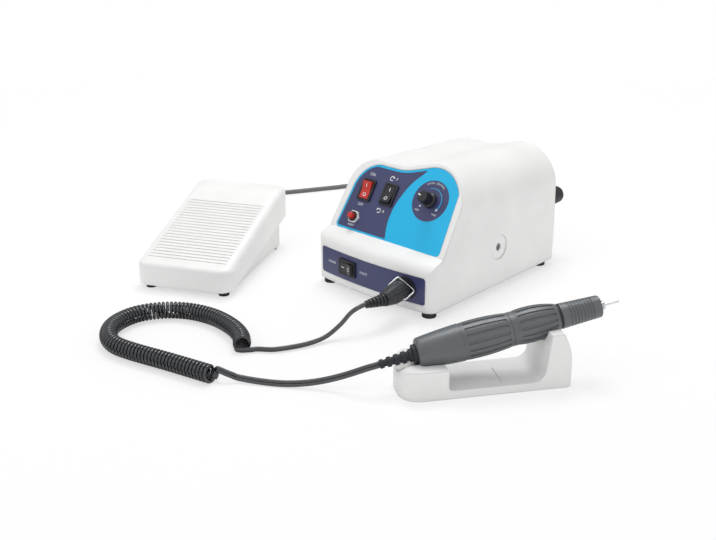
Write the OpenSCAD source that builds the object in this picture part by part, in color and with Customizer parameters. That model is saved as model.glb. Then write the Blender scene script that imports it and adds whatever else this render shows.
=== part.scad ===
/* [Control box] */
// Width across the bottom of the housing
box_w = 139; // [130:1:150]
// Depth from the front corners to the rear wall
box_d = 190; // [180:1:210]
// Height of the left shoulder
shoulder_z = 106; // [102:0.5:110]
// Height of the right hump
hump_z = 115; // [113:0.5:122]
// Corner radius of the left shoulder
shoulder_r = 24; // [20:1:27]
// Corner radius of the right hump
hump_r = 38; // [36:1:42]
// Where the top starts to climb to the hump, from the middle
climb_x = -8; // [-12:1:-4]
// Fall of the top toward the rear, in degrees
top_fall = 2.4; // [1.5:0.1:2.8]
// Inward lean of the side walls, in degrees
draft = 2.5; // [1.5:0.1:3]
// Wall thickness of the housing
wall = 2.6; // [2:0.1:3]
// Forward bow of the front in plan
bow = 4; // [2:0.5:6]
// Radius of the front corners in plan
corner_r = 10; // [7:0.5:13]
// Radius of the ledge above the lower panel
ledge_r = 11; // [8:0.5:13]
// Height at which the ledge starts to round over
ledge_z = 39; // [38:0.5:41]
// Thickness of the base plate
base_t = 2.5; // [2:0.1:3.5]
// Height of the rubber feet
foot_h = 6; // [4:0.5:7]
// Radius of the rubber feet
foot_r = 6.5; // [5:0.5:7]

/* [Panels] */
// Tilt of the upper panel from level, in degrees
panel_tilt = 57; // [55:0.5:59]
// Distance of the upper panel's lower edge behind the front corners
panel_y = 17.4; // [16:0.2:20]
// Height of the upper panel's lower edge
panel_z = 53; // [52:0.5:56]
// White rim left round the upper panel
panel_rim = 3.5; // [3:0.5:5]
// Width of the upper panel at its lower edge
panel_w = 122.6; // [116:0.2:124]
// Corner radius at the upper left of the panel
panel_r = 26; // [22:1:28]
// Thickness of the panels
panel_t = 1.5; // [1:0.1:2]
// Thickness of the housing behind the upper panel
face_wall = 4; // [3.5:0.1:5]
// Width of the lower panel
low_panel_w = 123; // [116:1:125]
// Lower edge of the lower panel above the table
low_panel_z = 13; // [12:0.5:14]
// Height of the lower panel
low_panel_h = 25; // [24:0.5:26]

/* [Controls] */
// Length of a rocker switch frame
rocker_l = 21; // [19:0.5:22]
// Width of a rocker switch frame
rocker_w = 15; // [14:0.5:16]
// Swing of a rocker between its two positions, in degrees
rocker_swing = 20; // [14:1:24]
// Speed dial centre, from the middle of the panel
dial_x = 31.1; // [29:0.1:32]
// Speed dial centre, up the panel
dial_up = 46; // [44:0.5:48]
// Radius of the knob at its foot
knob_r = 6.9; // [6:0.1:8]
// Height of the knob
knob_h = 14; // [11:0.5:16]
// Radius of the control shaft
shaft_r = 3; // [2.5:0.1:3.2]
// Radius of the reset button
reset_r = 2.9; // [2.4:0.1:3.1]
// Travel of the reset button
reset_travel = 2.5; // [1.5:0.1:3]

/* [Motor plug] */
// Place of the motor socket, from the middle of the box
socket_x = 42; // [38:0.5:44]
// Radius of the plug body
plug_r = 8.8; // [8:0.1:9.2]
// Length of the plug body
plug_l = 28; // [26:1:32]
// Radius of the plug nose in the socket
plug_nose_r = 4.5; // [4:0.1:5]
// Radius of the bail wire
bail_r = 0.8; // [0.6:0.1:0.9]

/* [Pedal] */
// Width of the pedal
pedal_w = 95; // [88:1:105]
// Length of the pedal
pedal_l = 157; // [150:1:170]
// Height of the pedal at its low front edge
pedal_front_z = 24; // [22:0.5:27]
// Height of the pedal at its high rear edge
pedal_rear_z = 64.5; // [60:0.5:70]
// Wall thickness of the treadle
treadle_t = 2.5; // [2:0.1:3]
// Travel of the treadle, in degrees
treadle_swing = 3; // [2:0.5:3.5]
// Height of the rubber feet under the pedal
pedal_foot_h = 4; // [3:0.5:4.5]
// Number of cross grooves on the treadle
groove_count = 22; // [16:1:24]
// Radius of the treadle hinge pin
pin_r = 2; // [1.5:0.1:2.5]

/* [Cradle] */
// Length of the cradle
cradle_l = 134.5; // [130:0.5:140]
// Width of the cradle
cradle_w = 44; // [40:1:50]
// Thickness of the cradle floor
cradle_floor = 7; // [5:0.5:9]
// Height of the rear block
block_z = 24; // [22:0.5:26]
// Height of the front support
support_z = 45; // [43:0.5:47]

/* [Handpiece] */
// Upward tilt of the handpiece in its cradle, in degrees
hand_tilt = 10.3; // [9:0.1:11.5]
// Length of the rear cap
cap_l = 35; // [32:0.5:38]
// Length of the motor housing behind the waist ring
motor_l = 39.5; // [38:0.5:42]
// Length of the front grip
grip_l = 38; // [36:0.5:40]
// Length of the chuck sleeve
sleeve_l = 33; // [30:0.5:36]
// Radius just before the rounded rear end
cap_r = 12; // [11.4:0.1:12.6]
// Greatest radius, at the collar
collar_r = 14.7; // [14.2:0.1:15.5]
// Radius at the waist ring
waist_r = 13.2; // [12.8:0.1:13.6]
// Radius at the front of the grip
front_r = 10.6; // [10.2:0.1:11]
// Radius at the nose end
nose_r = 8.7; // [8.4:0.1:9]
// Number of flutes round each grip
flute_count = 16; // [10:1:20]
// Radius of the tool shank
shank_r = 1.175; // [1:0.005:1.6]
// Twist of the chuck sleeve, in degrees
sleeve_twist = 60; // [40:5:90]

/* [Cords] */
// Diameter of the motor cord where it is straight
cord_d = 3.6; // [3:0.1:4]
// Diameter of the cord in its curls
curl_d = 2.4; // [2:0.1:2.5]
// Number of curls
curl_count = 84; // [60:1:96]
// Diameter of the foot cable
foot_cord_d = 5; // [4:0.1:5.2]
// Turns in the stored coil of foot cable
coil_turns = 5; // [3:1:6]

/* [Clearances] */
// Gap round a panel or switch in its cut-out
fit_gap = 0.2; // [0.1:0.05:0.3]
// Gap between pieces that move past each other
move_gap = 0.4; // [0.3:0.05:0.6]
// Radial gap of a running shaft
run_gap = 0.05; // [0.02:0.01:0.08]

/* [Hidden] */
$fn = 64;
tiny = 0.01;
far = 300;
half_w = box_w / 2;
lean = tan(draft);

// Places of the three units on the table
set_x = 4.7;
set_y = -5.8;
box_at = [2 + set_x, -31 + set_y, 0];
pedal_at = [-135 + set_x, -138 + set_y, 0];
pedal_yaw = 26;
cradle_at = [154 + set_x, -149 + set_y, 0];
cradle_yaw = 54.5;

function arc(c, r, a0, a1, n = 16) = [
  for (i = [0 : n]) let (a = a0 + (a1 - a0) * i / n) [c[0] + r * cos(a), c[1] + r * sin(a)]
];
function turned(p, a) = [p[0] * cos(a) - p[1] * sin(a), p[0] * sin(a) + p[1] * cos(a), p[2]];
function in_box(p) = box_at + p;
function in_pedal(p) = pedal_at + turned(p, pedal_yaw);
function in_cradle(p) = cradle_at + turned(p, cradle_yaw);

module at_box() { translate(box_at) children(); }
module at_pedal() { translate(pedal_at) rotate([0, 0, pedal_yaw]) children(); }
module at_cradle() { translate(cradle_at) rotate([0, 0, cradle_yaw]) children(); }

// Rounded bar: a plate with round corners, standing on its own plane
module round_plate(w, h, t, r) {
  linear_extrude(t) round_outline(w, h, r);
}
module round_outline(w, h, r) {
  polygon(concat(
    arc([w / 2 - r, h / 2 - r], r, 0, 90, 8), arc([r - w / 2, h / 2 - r], r, 90, 180, 8),
    arc([r - w / 2, r - h / 2], r, 180, 270, 8), arc([w / 2 - r, r - h / 2], r, 270, 360, 8)
  ));
}
module ring(r_out, r_in, h) {
  difference() {
    cylinder(r = r_out, h = h);
    translate([0, 0, -1]) cylinder(r = r_in, h = h + 2);
  }
}
module mirrored_x() {
  children();
  mirror([1, 0, 0]) children();
}

// Control box: outline of the housing across its width
hump_c = [half_w - (hump_z - hump_r - foot_h) * lean - hump_r / cos(draft), hump_z - hump_r];
should_c = [(shoulder_z - shoulder_r - foot_h) * lean + shoulder_r / cos(draft) - half_w,
  shoulder_z - shoulder_r];
climb_to = [hump_c[0] - climb_x, hump_c[1] - shoulder_z];
climb_a = atan2(climb_to[1], climb_to[0]) + asin(hump_r / norm(climb_to));
climb_r = 60;
climb_c = [climb_x - climb_r * tan(climb_a / 2), shoulder_z + climb_r];
function side_x(z, inset) = half_w - inset / cos(draft) - (z - foot_h) * lean;
function hump_outline(inset, low) = concat(
  [[side_x(low, inset), low]],
  arc(hump_c, hump_r - inset, draft, 90 + climb_a, 24),
  arc(climb_c, climb_r + inset, 270 + climb_a, 270, 6),
  arc(should_c, shoulder_r - inset, 90, 180 - draft, 16),
  [[-side_x(low, inset), low]]
);
bow_r = (pow(half_w - corner_r, 2) + bow * bow) / (2 * bow);
bow_c = bow_r - bow;
function bow_y(x, inset = 0) = bow_c - sqrt(pow(bow_r - inset, 2) - x * x);
rear_r = 5;
ledge_rise = 20;
ledge_back = 60;

module box_plan(inset) {
  x = half_w - inset;
  r = corner_r - inset;
  q = rear_r - min(inset, rear_r - 1);
  y = bow_y(half_w - corner_r, inset) + r;
  polygon(concat(
    [[-(x - r), -bow * 4], [x - r, -bow * 4]],
    arc([x - r, y], r, 270, 360, 10), arc([x - q, box_d - inset - q], q, 0, 90, 8),
    arc([q - x, box_d - inset - q], q, 90, 180, 8), arc([r - x, y], r, 180, 270, 10)
  ));
}
module bowed_front(inset, low) {
  c = [bow_r - ledge_r, ledge_z];
  a = 90 - ledge_rise;
  r = ledge_r - inset;
  end = [c[0] + r * cos(a), c[1] + r * sin(a)];
  translate([0, bow_c, 0]) rotate([0, 0, 180]) rotate_extrude($fn = 200) polygon(concat(
    [[0, low], [bow_r - inset, low]], arc(c, r, 0, a, 10),
    [[end[0] - ledge_back, end[1] + ledge_back * tan(ledge_rise)],
     [0, end[1] + ledge_back * tan(ledge_rise)]]
  ));
}
module on_panel() { translate([0, panel_y, panel_z]) rotate([panel_tilt, 0, 0]) children(); }
module behind_face(depth) { on_panel() translate([-far / 2, 0, -depth - far]) cube(far); }
module hump_bar(inset, low, rear) {
  translate([0, box_d, 0]) rotate([-top_fall, 0, 0]) translate([0, rear - box_d + 8, 0]) rotate([90, 0, 0])
    linear_extrude(box_d + 5 * bow + 8) polygon(hump_outline(inset, low - 14));
}
module box_mass(inset, depth, low) {
  intersection() {
    hump_bar(inset, low, box_d - inset);
    translate([0, 0, low]) linear_extrude(hump_z + 20) box_plan(inset);
    union() {
      bowed_front(inset, low);
      behind_face(depth);
    }
  }
}

// Control box: places of the switches and sockets
rocker_at = [[-41.2, 40], [-14.8, 41]];
mode_at = [-26.5, low_panel_z + low_panel_h / 2];
socket_at = [socket_x, low_panel_z + low_panel_h / 2];
reset_at = [-43.6, 12.6];
dial_at = [dial_x, dial_up];
cut_l = rocker_l - 1.6;
cut_w = rocker_w - 1.8;
breaker_r = reset_r + 1.6;
bush_r = shaft_r + 1;
flange_r = 10.5;
socket_r = 8;
low_face = 3.2;
module on_low(x) {
  translate([x, bow_y(x), 0]) rotate([90, 0, 0]) rotate([0, asin(x / bow_r), 0]) children();
}
inlet_at = [0.75 - half_w / 2, 38];
inlet_w = 27;
inlet_h = 20;
fuse_at = [2, 38];
fuse_r = 6;
jack_at = [half_w - 19.5, 60];
jack_r = 3.25;
jack_bush_r = 5.5;
module on_rear(p) { translate([p[0], box_d, p[1]]) rotate([-90, 0, 0]) children(); }
boss_r = 9;
boss_h = 26;
boss_x = side_x(foot_h + base_t + boss_h, wall) - boss_r + 1.6;
boss_at = [[boss_x, 26], [boss_x, box_d - 24]];
screw_r = 1.5;
side_at = [98.6, 41.8];
side_ring_r = 11.5;
side_hole_r = 3.4;
side_in = 0.8;

module panel_cuts(grow, deep) {
  for (p = rocker_at)
    translate([p[0] - cut_w / 2 - grow, p[1] - cut_l / 2 - grow, -deep])
      cube([cut_w + 2 * grow, cut_l + 2 * grow, 2 * deep]);
  translate([reset_at[0], reset_at[1], -deep]) cylinder(r = breaker_r + grow, h = 2 * deep);
  translate([dial_at[0], dial_at[1], -deep]) cylinder(r = bush_r + grow, h = 2 * deep);
}
module low_cuts(grow, deep) {
  on_low(mode_at[0]) translate([-cut_l / 2 - grow, mode_at[1] - cut_w / 2 - grow, -deep])
    cube([cut_l + 2 * grow, cut_w + 2 * grow, 2 * deep]);
  on_low(socket_at[0]) translate([0, socket_at[1], -deep]) cylinder(r = socket_r + grow, h = 2 * deep);
}
panel_lean = 0.067;
panel_top = 66.6;
function face_outline(grow) = let (
  h = panel_w / 2 + grow,
  r = 4,
  c = [panel_r + panel_lean * (panel_top - panel_r) - panel_w / 2, panel_top - panel_r]
) concat(
  arc([h - r, r - grow], r, 270, 360, 6), [[h - 90 * panel_lean, 90], [c[0], 90]],
  arc(c, panel_r + grow, 90, 176, 12), arc([r - h, r - grow], r, 180, 270, 6)
);
module upper_plate(rim, top, under) {
  intersection() {
    hump_bar(rim, foot_h, box_d);
    on_panel() translate([0, 0, -under]) linear_extrude(top + under) polygon(face_outline(panel_rim - rim));
  }
}
module lower_plate(grow, front, back) {
  intersection() {
    translate([0, bow_c, 0]) rotate([0, 0, 180]) ring(bow_r - front, bow_r - back, shoulder_z, $fn = 200);
    translate([0, far / 2, low_panel_z + low_panel_h / 2]) rotate([90, 0, 0])
      round_plate(low_panel_w + 2 * grow, low_panel_h + 2 * grow, far, 2.5 + grow);
  }
}

module housing() {
  color("white") at_box() {
    difference() {
      union() {
        difference() {
          box_mass(0, 0, foot_h);
          box_mass(wall, face_wall, foot_h - 1);
        }
        intersection() {
          box_mass(wall / 2, face_wall / 2, foot_h + base_t);
          for (p = boss_at) mirrored_x()
            translate([p[0], p[1], foot_h + base_t]) cylinder(r = boss_r, h = boss_h);
        }
      }
      for (p = boss_at) mirrored_x() translate([p[0], p[1], 0]) cylinder(r = screw_r + run_gap, h = foot_h + 18);
      upper_plate(panel_rim - fit_gap, far, panel_t);
      on_panel() panel_cuts(fit_gap + 0.3, face_wall * 2);
      lower_plate(fit_gap, -1, panel_t + 0.1);
      low_cuts(fit_gap + 0.3, 8);
      mirrored_x() translate([side_x(side_at[1], 0), side_at[0], side_at[1]]) rotate([0, 90 - draft, 0]) {
        translate([0, 0, -side_in]) cylinder(r = side_ring_r, h = 5);
        translate([0, 0, -10]) cylinder(r = side_hole_r, h = 15);
      }
      on_rear(inlet_at) translate([-inlet_w / 2 - fit_gap, -inlet_h / 2 - fit_gap, -10])
        cube([inlet_w + 2 * fit_gap, inlet_h + 2 * fit_gap, 20]);
      on_rear(fuse_at) translate([0, 0, -10]) cylinder(r = fuse_r + fit_gap, h = 20);
      on_rear(jack_at) translate([0, 0, -10]) cylinder(r = jack_bush_r + fit_gap, h = 20);
    }
  }
}
board_at = [-55, 38];
board_size = [100, 62, 1.6];
board_z = 14;
post_in = 4;
function board_posts() = [
  for (x = [post_in, board_size[0] - post_in], y = [post_in, board_size[1] - post_in])
    [board_at[0] + x, board_at[1] + y]
];
tab_t = 4;
tab_gap = 0.3;
tab_x = side_x(side_at[1] + 10, wall) - tab_gap;
module base_plate() {
  floor_z = foot_h + base_t;
  color("gainsboro") at_box() difference() {
    union() {
      intersection() {
        box_mass(wall + fit_gap, face_wall, foot_h);
        translate([-far / 2, -far / 2, 0]) cube([far, far * 2, floor_z]);
      }
      for (p = board_posts()) translate([p[0], p[1], floor_z - tiny])
        cylinder(r = 3, h = board_z - floor_z + tiny);
      mirrored_x() translate([tab_x - tab_t, side_at[0] - 9, floor_z - tiny])
        cube([tab_t, 18, side_at[1] + 10 - floor_z]);
    }
    for (p = boss_at) mirrored_x() translate([p[0], p[1], 0]) cylinder(r = screw_r + fit_gap, h = 20);
    mirrored_x() translate([0, side_at[0], side_at[1]]) rotate([0, 90, 0])
      cylinder(r = screw_r + run_gap, h = far / 2);
  }
}
feet_at = [[half_w - 10, 9.5], [half_w - 10, box_d - 12]];
module box_feet() {
  color("#222222") at_box() for (p = feet_at) mirrored_x() translate([p[0], p[1], 0])
    cylinder(r = foot_r, h = foot_h);
}
module housing_screws() {
  reach = side_x(side_at[1], 0) - 1.8;
  color("silver") at_box() {
    for (p = boss_at) mirrored_x() translate([p[0], p[1], foot_h - 1.6]) {
      cylinder(r = 2 * screw_r, h = 1.6);
      cylinder(r = screw_r, h = 18);
    }
    mirrored_x() translate([0, side_at[0], side_at[1]]) rotate([0, 90, 0]) {
      translate([0, 0, tab_x - tab_t]) cylinder(r = screw_r, h = reach - tab_x + tab_t);
      translate([0, 0, tab_x]) cylinder(r = 2.8, h = reach - tab_x);
    }
  }
}
module upper_panel() {
  color("deepskyblue") at_box() difference() {
    upper_plate(panel_rim, 0, panel_t);
    on_panel() panel_cuts(fit_gap, 10);
  }
}
module lower_panel() {
  color("midnightblue") at_box() difference() {
    lower_plate(0, 0, panel_t);
    low_cuts(fit_gap, 10);
  }
}

// Rocker switches: the long way lies along y, the face looks along z
open_l = rocker_l - 3.1;
open_w = rocker_w - 4.2;
bezel_t = 1.8;
switch_deep = 13;
blade = [4.8, 0.8, 8];
pivot_z = 0.3;
trunnion_r = 1;
module rocker_switch() {
  color("#1c1c1e") difference() {
    union() {
      round_plate(rocker_w, rocker_l, bezel_t, 1.5);
      translate([-cut_w / 2, -cut_l / 2, -switch_deep]) cube([cut_w, cut_l, switch_deep + tiny]);
      for (y = [-6, 0, 6]) translate([-blade[0] / 2, y, -switch_deep - blade[2]])
        cube([blade[0], blade[1], blade[2] + 1]);
    }
    translate([-open_w / 2, -open_l / 2, 2 - switch_deep]) cube([open_w, open_l, switch_deep + 5]);
    translate([0, 0, pivot_z]) rotate([0, 90, 0])
      cylinder(r = trunnion_r + run_gap, h = cut_w + 1, center = true);
  }
}
module rocker(tint, tip) {
  width = open_w - 2 * move_gap;
  reach = open_l / 2 - move_gap;
  slope = tan(rocker_swing / 2);
  crown = 1.6;
  color(tint) translate([0, 0, pivot_z]) rotate([tip, 0, 0]) {
    translate([-width / 2, 0, 0]) rotate([90, 0, 90]) linear_extrude(width) intersection() {
      circle(r = reach);
      polygon([[-reach, -5], [reach, -5], [reach, crown + reach * slope], [0, crown],
        [-reach, crown + reach * slope]]);
    }
    rotate([0, 90, 0]) cylinder(r = trunnion_r, h = open_w + 2, center = true);
  }
}
module at_rocker(i) { at_box() on_panel() translate([rocker_at[i][0], rocker_at[i][1], 0]) children(); }
module at_mode() { at_box() on_low(mode_at[0]) translate([0, mode_at[1], 0]) rotate([0, 0, 90]) children(); }
module power_switch() { at_rocker(0) rocker_switch(); }
module direction_switch() { at_rocker(1) rocker_switch(); }
module mode_switch() { at_mode() rocker_switch(); }
module power_rocker() { at_rocker(0) rocker("#d4382c", rocker_swing / 2); }
module direction_rocker() { at_rocker(1) rocker("#202124", -rocker_swing / 2); }
module mode_rocker() { at_mode() rocker("#202124", -rocker_swing / 2); }

// Overload reset button beside the power switch
bush_out = 3.6;
button_out = 8;
nut_t = 2.4;
breaker_size = [15, 20, 22];
module at_reset() { at_box() on_panel() translate([reset_at[0], reset_at[1], 0]) children(); }
module reset_breaker() {
  color("#2a2a2c") at_reset() difference() {
    union() {
      translate([0, 0, -face_wall]) cylinder(r = breaker_r, h = face_wall + bush_out);
      translate([-breaker_size[0] / 2, -breaker_size[1] / 2, -face_wall - breaker_size[2]]) cube(breaker_size);
    }
    translate([0, 0, -face_wall - 8]) cylinder(r = reset_r + run_gap, h = 20);
  }
}
module reset_nut() {
  color("silver") at_reset() difference() {
    cylinder(r = breaker_r + 1.8, h = nut_t, $fn = 6);
    translate([0, 0, -1]) cylinder(r = breaker_r + run_gap, h = nut_t + 2);
  }
}
module reset_button() {
  dome = 1;
  color("#c8332a") at_reset() rotate_extrude() polygon(concat(
    [[0, -face_wall - 8 + reset_travel + move_gap], [reset_r, -face_wall - 8 + reset_travel + move_gap]],
    arc([reset_r - dome, button_out - dome], dome, 0, 90, 6), [[0, button_out]]
  ));
}

// Speed control, its shaft and its knob
control_r = 8.5;
control_deep = 10;
knob_gap = 1.2;
knob_top_r = knob_r - 1.5;
knob_flutes = 18;
module at_dial() { at_box() on_panel() translate([dial_at[0], dial_at[1], 0]) children(); }
module speed_control() {
  color("#6f7276") at_dial() difference() {
    union() {
      translate([0, 0, -face_wall]) cylinder(r = bush_r, h = face_wall + knob_gap - 0.5);
      translate([0, 0, -face_wall - control_deep]) cylinder(r = control_r, h = control_deep);
      translate([-6, -control_r - 5, -face_wall - 4]) cube([12, 8, 1.5]);
    }
    translate([0, 0, 2 - face_wall - control_deep]) cylinder(r = shaft_r + run_gap, h = far);
  }
}
module speed_shaft() {
  start = 2.5 - face_wall - control_deep;
  color("silver") at_dial() translate([0, 0, start]) cylinder(r = shaft_r, h = knob_h - 3 - start);
}
module speed_knob() {
  pointer_a = 165;
  cut = 0.6;
  color("#17181a") at_dial() difference() {
    rotate_extrude() polygon([
      [0, knob_gap], [knob_r, knob_gap], [knob_r, knob_gap + 2], [knob_top_r, knob_gap + 3],
      [knob_top_r, knob_h - 0.8], [knob_top_r - 0.8, knob_h], [0, knob_h]
    ]);
    translate([0, 0, -1]) cylinder(r = shaft_r + run_gap, h = knob_h - 2 + tiny);
    for (i = [1 : knob_flutes]) rotate([0, 0, pointer_a + i * 360 / (knob_flutes + 1)])
      translate([knob_top_r - cut, -0.5, knob_gap + 3.6]) cube([3, 1, knob_h]);
    rotate([0, 0, pointer_a]) translate([1.5, -0.5, knob_h - 0.5]) cube([knob_r, 1, 2]);
  }
}

// Motor socket, plug and the wire bail that holds the plug in
nose_out = 5.5;
pivot_out = 14;
bail_turn = -27;
bail_half = plug_r + bail_r + 0.4;
bail_reach = 11.5;
bail_lift = 5.6;
flange_t = 1.2;
relief_l = 17;
relief_ribs = 5;
plug_droop = 2;
plug_swing = 22;
module at_socket() { at_box() on_low(socket_at[0]) translate([0, socket_at[1], 0]) children(); }
module motor_socket() {
  color("#8d9095") at_socket() difference() {
    union() {
      cylinder(r = flange_r, h = flange_t);
      translate([0, 0, -16]) cylinder(r = socket_r, h = 16 + tiny);
      rotate([0, 0, bail_turn]) for (x = [-8.4, 8.4]) translate([x, -3.4, 0])
        cylinder(r = 1.5, h = flange_t + 0.7);
    }
    translate([0, 0, -12]) cylinder(r = plug_nose_r + 0.1, h = 20);
  }
}
// Ribbed sleeve along z: a taper with raised rings
module ribbed_sleeve(l, r0, r1, ribs, bore) {
  step = l / (ribs + 0.5);
  function taper(z) = r0 + (r1 - r0) * z / l;
  rotate_extrude() polygon(concat(
    [[bore, 0]],
    [for (i = [0 : ribs - 1], k = [0 : 3])
      let (z = step * (i + [0, 0.5, 0.55, 0.95][k])) [taper(z) - [0, 0, 1.1, 1.1][k], z]],
    [[taper(l), l - step / 2], [taper(l), l], [bore, l]]
  ));
}
module at_plug_relief() {
  at_socket() translate([0, 0, nose_out + plug_l]) rotate([plug_droop, -plug_swing, 0]) children();
}
plug_neck_r = 6.4;
module motor_plug() {
  color("#26272a") {
    at_socket() difference() {
      rotate_extrude() polygon(concat(
        [[0, -11], [plug_nose_r, -11], [plug_nose_r, nose_out]],
        arc([plug_r - 1.4, nose_out + 1], 1, 270, 360, 5),
        [[plug_r, pivot_out - 3], [plug_r, pivot_out + 5], [plug_r - 0.5, pivot_out + 8]],
        arc([plug_neck_r - 1.5, nose_out + plug_l - 1.5], 1.5, 20, 90, 5), [[0, nose_out + plug_l]]
      ));
      translate([0, 0, pivot_out]) rotate([0, 0, bail_turn]) for (a = [0, 180]) rotate([0, 0, a])
        translate([plug_r - 3, 0, 0]) rotate([0, 90, 0]) cylinder(r = bail_r + run_gap, h = 10);
    }
    at_plug_relief() {
      sphere(r = 4.4, $fn = 32);
      ribbed_sleeve(relief_l, 5.6, 3.4, relief_ribs, 0);
    }
  }
}
module plug_bail() {
  reach = norm([bail_reach, bail_lift]);
  fall = atan2(bail_lift, -bail_reach);
  color("silver") at_socket() translate([0, 0, pivot_out]) rotate([0, 0, bail_turn]) {
    for (a = [-1, 1]) translate([a * bail_half, 0, 0]) {
      rotate([-fall, 0, 0]) cylinder(r = bail_r, h = reach);
      sphere(r = bail_r + 0.06, $fn = 32);
      translate([0, bail_lift, -bail_reach]) sphere(r = bail_r + 0.06, $fn = 32);
      rotate([0, -90 * a, 0]) cylinder(r = bail_r, h = bail_half - plug_r + 2.4);
    }
    translate([-bail_half, bail_lift, -bail_reach]) rotate([0, 90, 0]) cylinder(r = bail_r, h = 2 * bail_half);
  }
}

// Pieces on the base plate
inside_z = foot_h + base_t;
core_at = [-16, box_d - 62];
core_size = [66, 38, 55];
leg = 11;
window_h = core_size[2] - 2 * leg;
module at_core() { at_box() translate([core_at[0], core_at[1], inside_z]) children(); }
module transformer_core() {
  color("#5b5f66") at_core() difference() {
    translate([-core_size[0] / 2, -core_size[1] / 2, 0]) cube(core_size);
    mirrored_x() translate([leg, -core_size[1], leg]) cube([leg, 2 * core_size[1], window_h]);
  }
}
module transformer_coil() {
  thick = leg - 2 * move_gap;
  inner = [2 * leg + 2 * move_gap, core_size[1] + 2 * move_gap];
  high = window_h - move_gap;
  color("#c9802f") at_core() translate([0, 0, leg]) difference() {
    translate([-inner[0] / 2 - thick, -inner[1] / 2 - thick, 0])
      cube([inner[0] + 2 * thick, inner[1] + 2 * thick, high]);
    translate([-inner[0] / 2, -inner[1] / 2, -1]) cube([inner[0], inner[1], high + 2]);
  }
}
module control_board() {
  top = board_z + board_size[2];
  color("#1f6b3a") at_box() {
    translate([board_at[0], board_at[1], board_z]) cube(board_size);
    for (i = [0 : 4]) translate([board_at[0] + 14 + i * 9, board_at[1] + 6, top - tiny]) cube([6, 8, 3]);
    translate([board_at[0] + 70, board_at[1] + 6, top - tiny]) cube([22, 9, 10]);
    for (x = [14, 36]) translate([board_at[0] + x, board_at[1] + 38, top - tiny]) cylinder(r = 9, h = 30);
  }
}
sink_size = [42, 26, 30];
sink_fins = 6;
module heat_sink() {
  top = board_z + board_size[2];
  pitch = (sink_size[0] - 2) / sink_fins;
  color("#a9adb3") at_box() translate([board_at[0] + 52, board_at[1] + 26, top]) difference() {
    cube(sink_size);
    for (i = [0 : sink_fins - 1]) translate([2 + i * pitch, -1, 5])
      cube([pitch - 2, sink_size[1] + 2, sink_size[2]]);
  }
}
inlet_deep = 18;
inlet_wall = 1.6;
inlet_lip = 2.5;
module mains_inlet() {
  hole = [inlet_w - 2 * inlet_wall, inlet_h - 2 * inlet_wall];
  color("#1b1b1d") at_box() on_rear(inlet_at) {
    difference() {
      union() {
        round_plate(inlet_w + 2 * inlet_lip, inlet_h + 2 * inlet_lip, 2, 2);
        translate([-inlet_w / 2, -inlet_h / 2, -inlet_deep]) cube([inlet_w, inlet_h, inlet_deep + tiny]);
      }
      translate([-hole[0] / 2, -hole[1] / 2, 2 - inlet_deep]) cube([hole[0], hole[1], far]);
    }
    for (p = [[-7, -2.5], [7, -2.5], [0, 3.5]]) translate([p[0] - 1, p[1] - 2, 1 - inlet_deep])
      cube([2, 4, 12]);
  }
}
fuse_bore = 3.4;
module fuse_holder() {
  color("#1b1b1d") at_box() on_rear(fuse_at) difference() {
    union() {
      cylinder(r = fuse_r + 2, h = 2);
      translate([0, 0, -28]) cylinder(r = fuse_r, h = 28 + tiny);
    }
    translate([0, 0, -24]) cylinder(r = fuse_bore, h = 40);
  }
}
module fuse_cap() {
  color("#333336") at_box() on_rear(fuse_at) difference() {
    union() {
      translate([0, 0, -20]) cylinder(r = fuse_bore - run_gap, h = 22 + move_gap);
      translate([0, 0, 2 + move_gap]) cylinder(r = fuse_r, h = 5);
    }
    translate([-0.6, -fuse_r, 6 + move_gap]) cube([1.2, 2 * fuse_r, 4]);
  }
}
jack_deep = 24;
foot_plug_r = 8.4;
foot_plug_l = 28;
foot_plug_out = 20;
foot_relief_in = 1.5;
foot_relief_l = 16;
foot_start = 3.4;
module foot_jack() {
  color("#77797d") at_box() on_rear(jack_at) difference() {
    union() {
      cylinder(r = jack_bush_r + 2.2, h = 2.4, $fn = 6);
      translate([0, 0, -wall]) cylinder(r = jack_bush_r, h = wall + 3);
      translate([-8, -8, -wall - jack_deep]) cube([16, 16, jack_deep]);
    }
    translate([0, 0, 2 - wall - jack_deep]) cylinder(r = jack_r, h = far);
  }
}
module foot_plug() {
  color("#2a2b2e") at_box() on_rear(jack_at) {
    rotate_extrude() polygon(concat(
      [[0, -20], [jack_r - 0.1, -20], [jack_r - 0.1, foot_start]],
      arc([foot_plug_r - 1, foot_start + 1], 1, 270, 360, 5),
      arc([foot_plug_r - 5, foot_start + foot_plug_l - 5], 5, 0, 90, 8), [[0, foot_start + foot_plug_l]]
    ));
    translate([foot_relief_in - foot_plug_r, 0, foot_plug_out]) rotate([0, -90, 0])
      ribbed_sleeve(foot_relief_l, 5, 3.6, 5, 0);
  }
}

// Foot pedal: x across, y from the low front edge to the high rear edge
tread_slope = (pedal_rear_z - pedal_front_z) / pedal_l;
tread_a = atan(tread_slope);
function tread_z(y) = pedal_front_z + tread_slope * y;
pedal_corner = 12;
pedal_edge = 5;
skirt_front = 5;
skirt_rear = 34;
skirt_gap = 1;
base_rear_y = pedal_l - 14;
tray_t = 2.5;
tray_front_z = 14;
tray_rear_z = 42;
hinge_at = [14, 12];
hinge_half = 4.5;
lug_t = 5;
base_lug_x = 30;
tread_lug_x = base_lug_x + lug_t + 2;
switch_y = 48;
plunger_r = 1.5;
plunger_top = 22;
switch_size = [20, 10, 13.5];
spring_y = 100;
spring_r = 6.5;
spring_wire = 1.4;
spring_turns = 9;
gland_z = 13;
gland_r = 4.2;
gland_l = 15;
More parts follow.
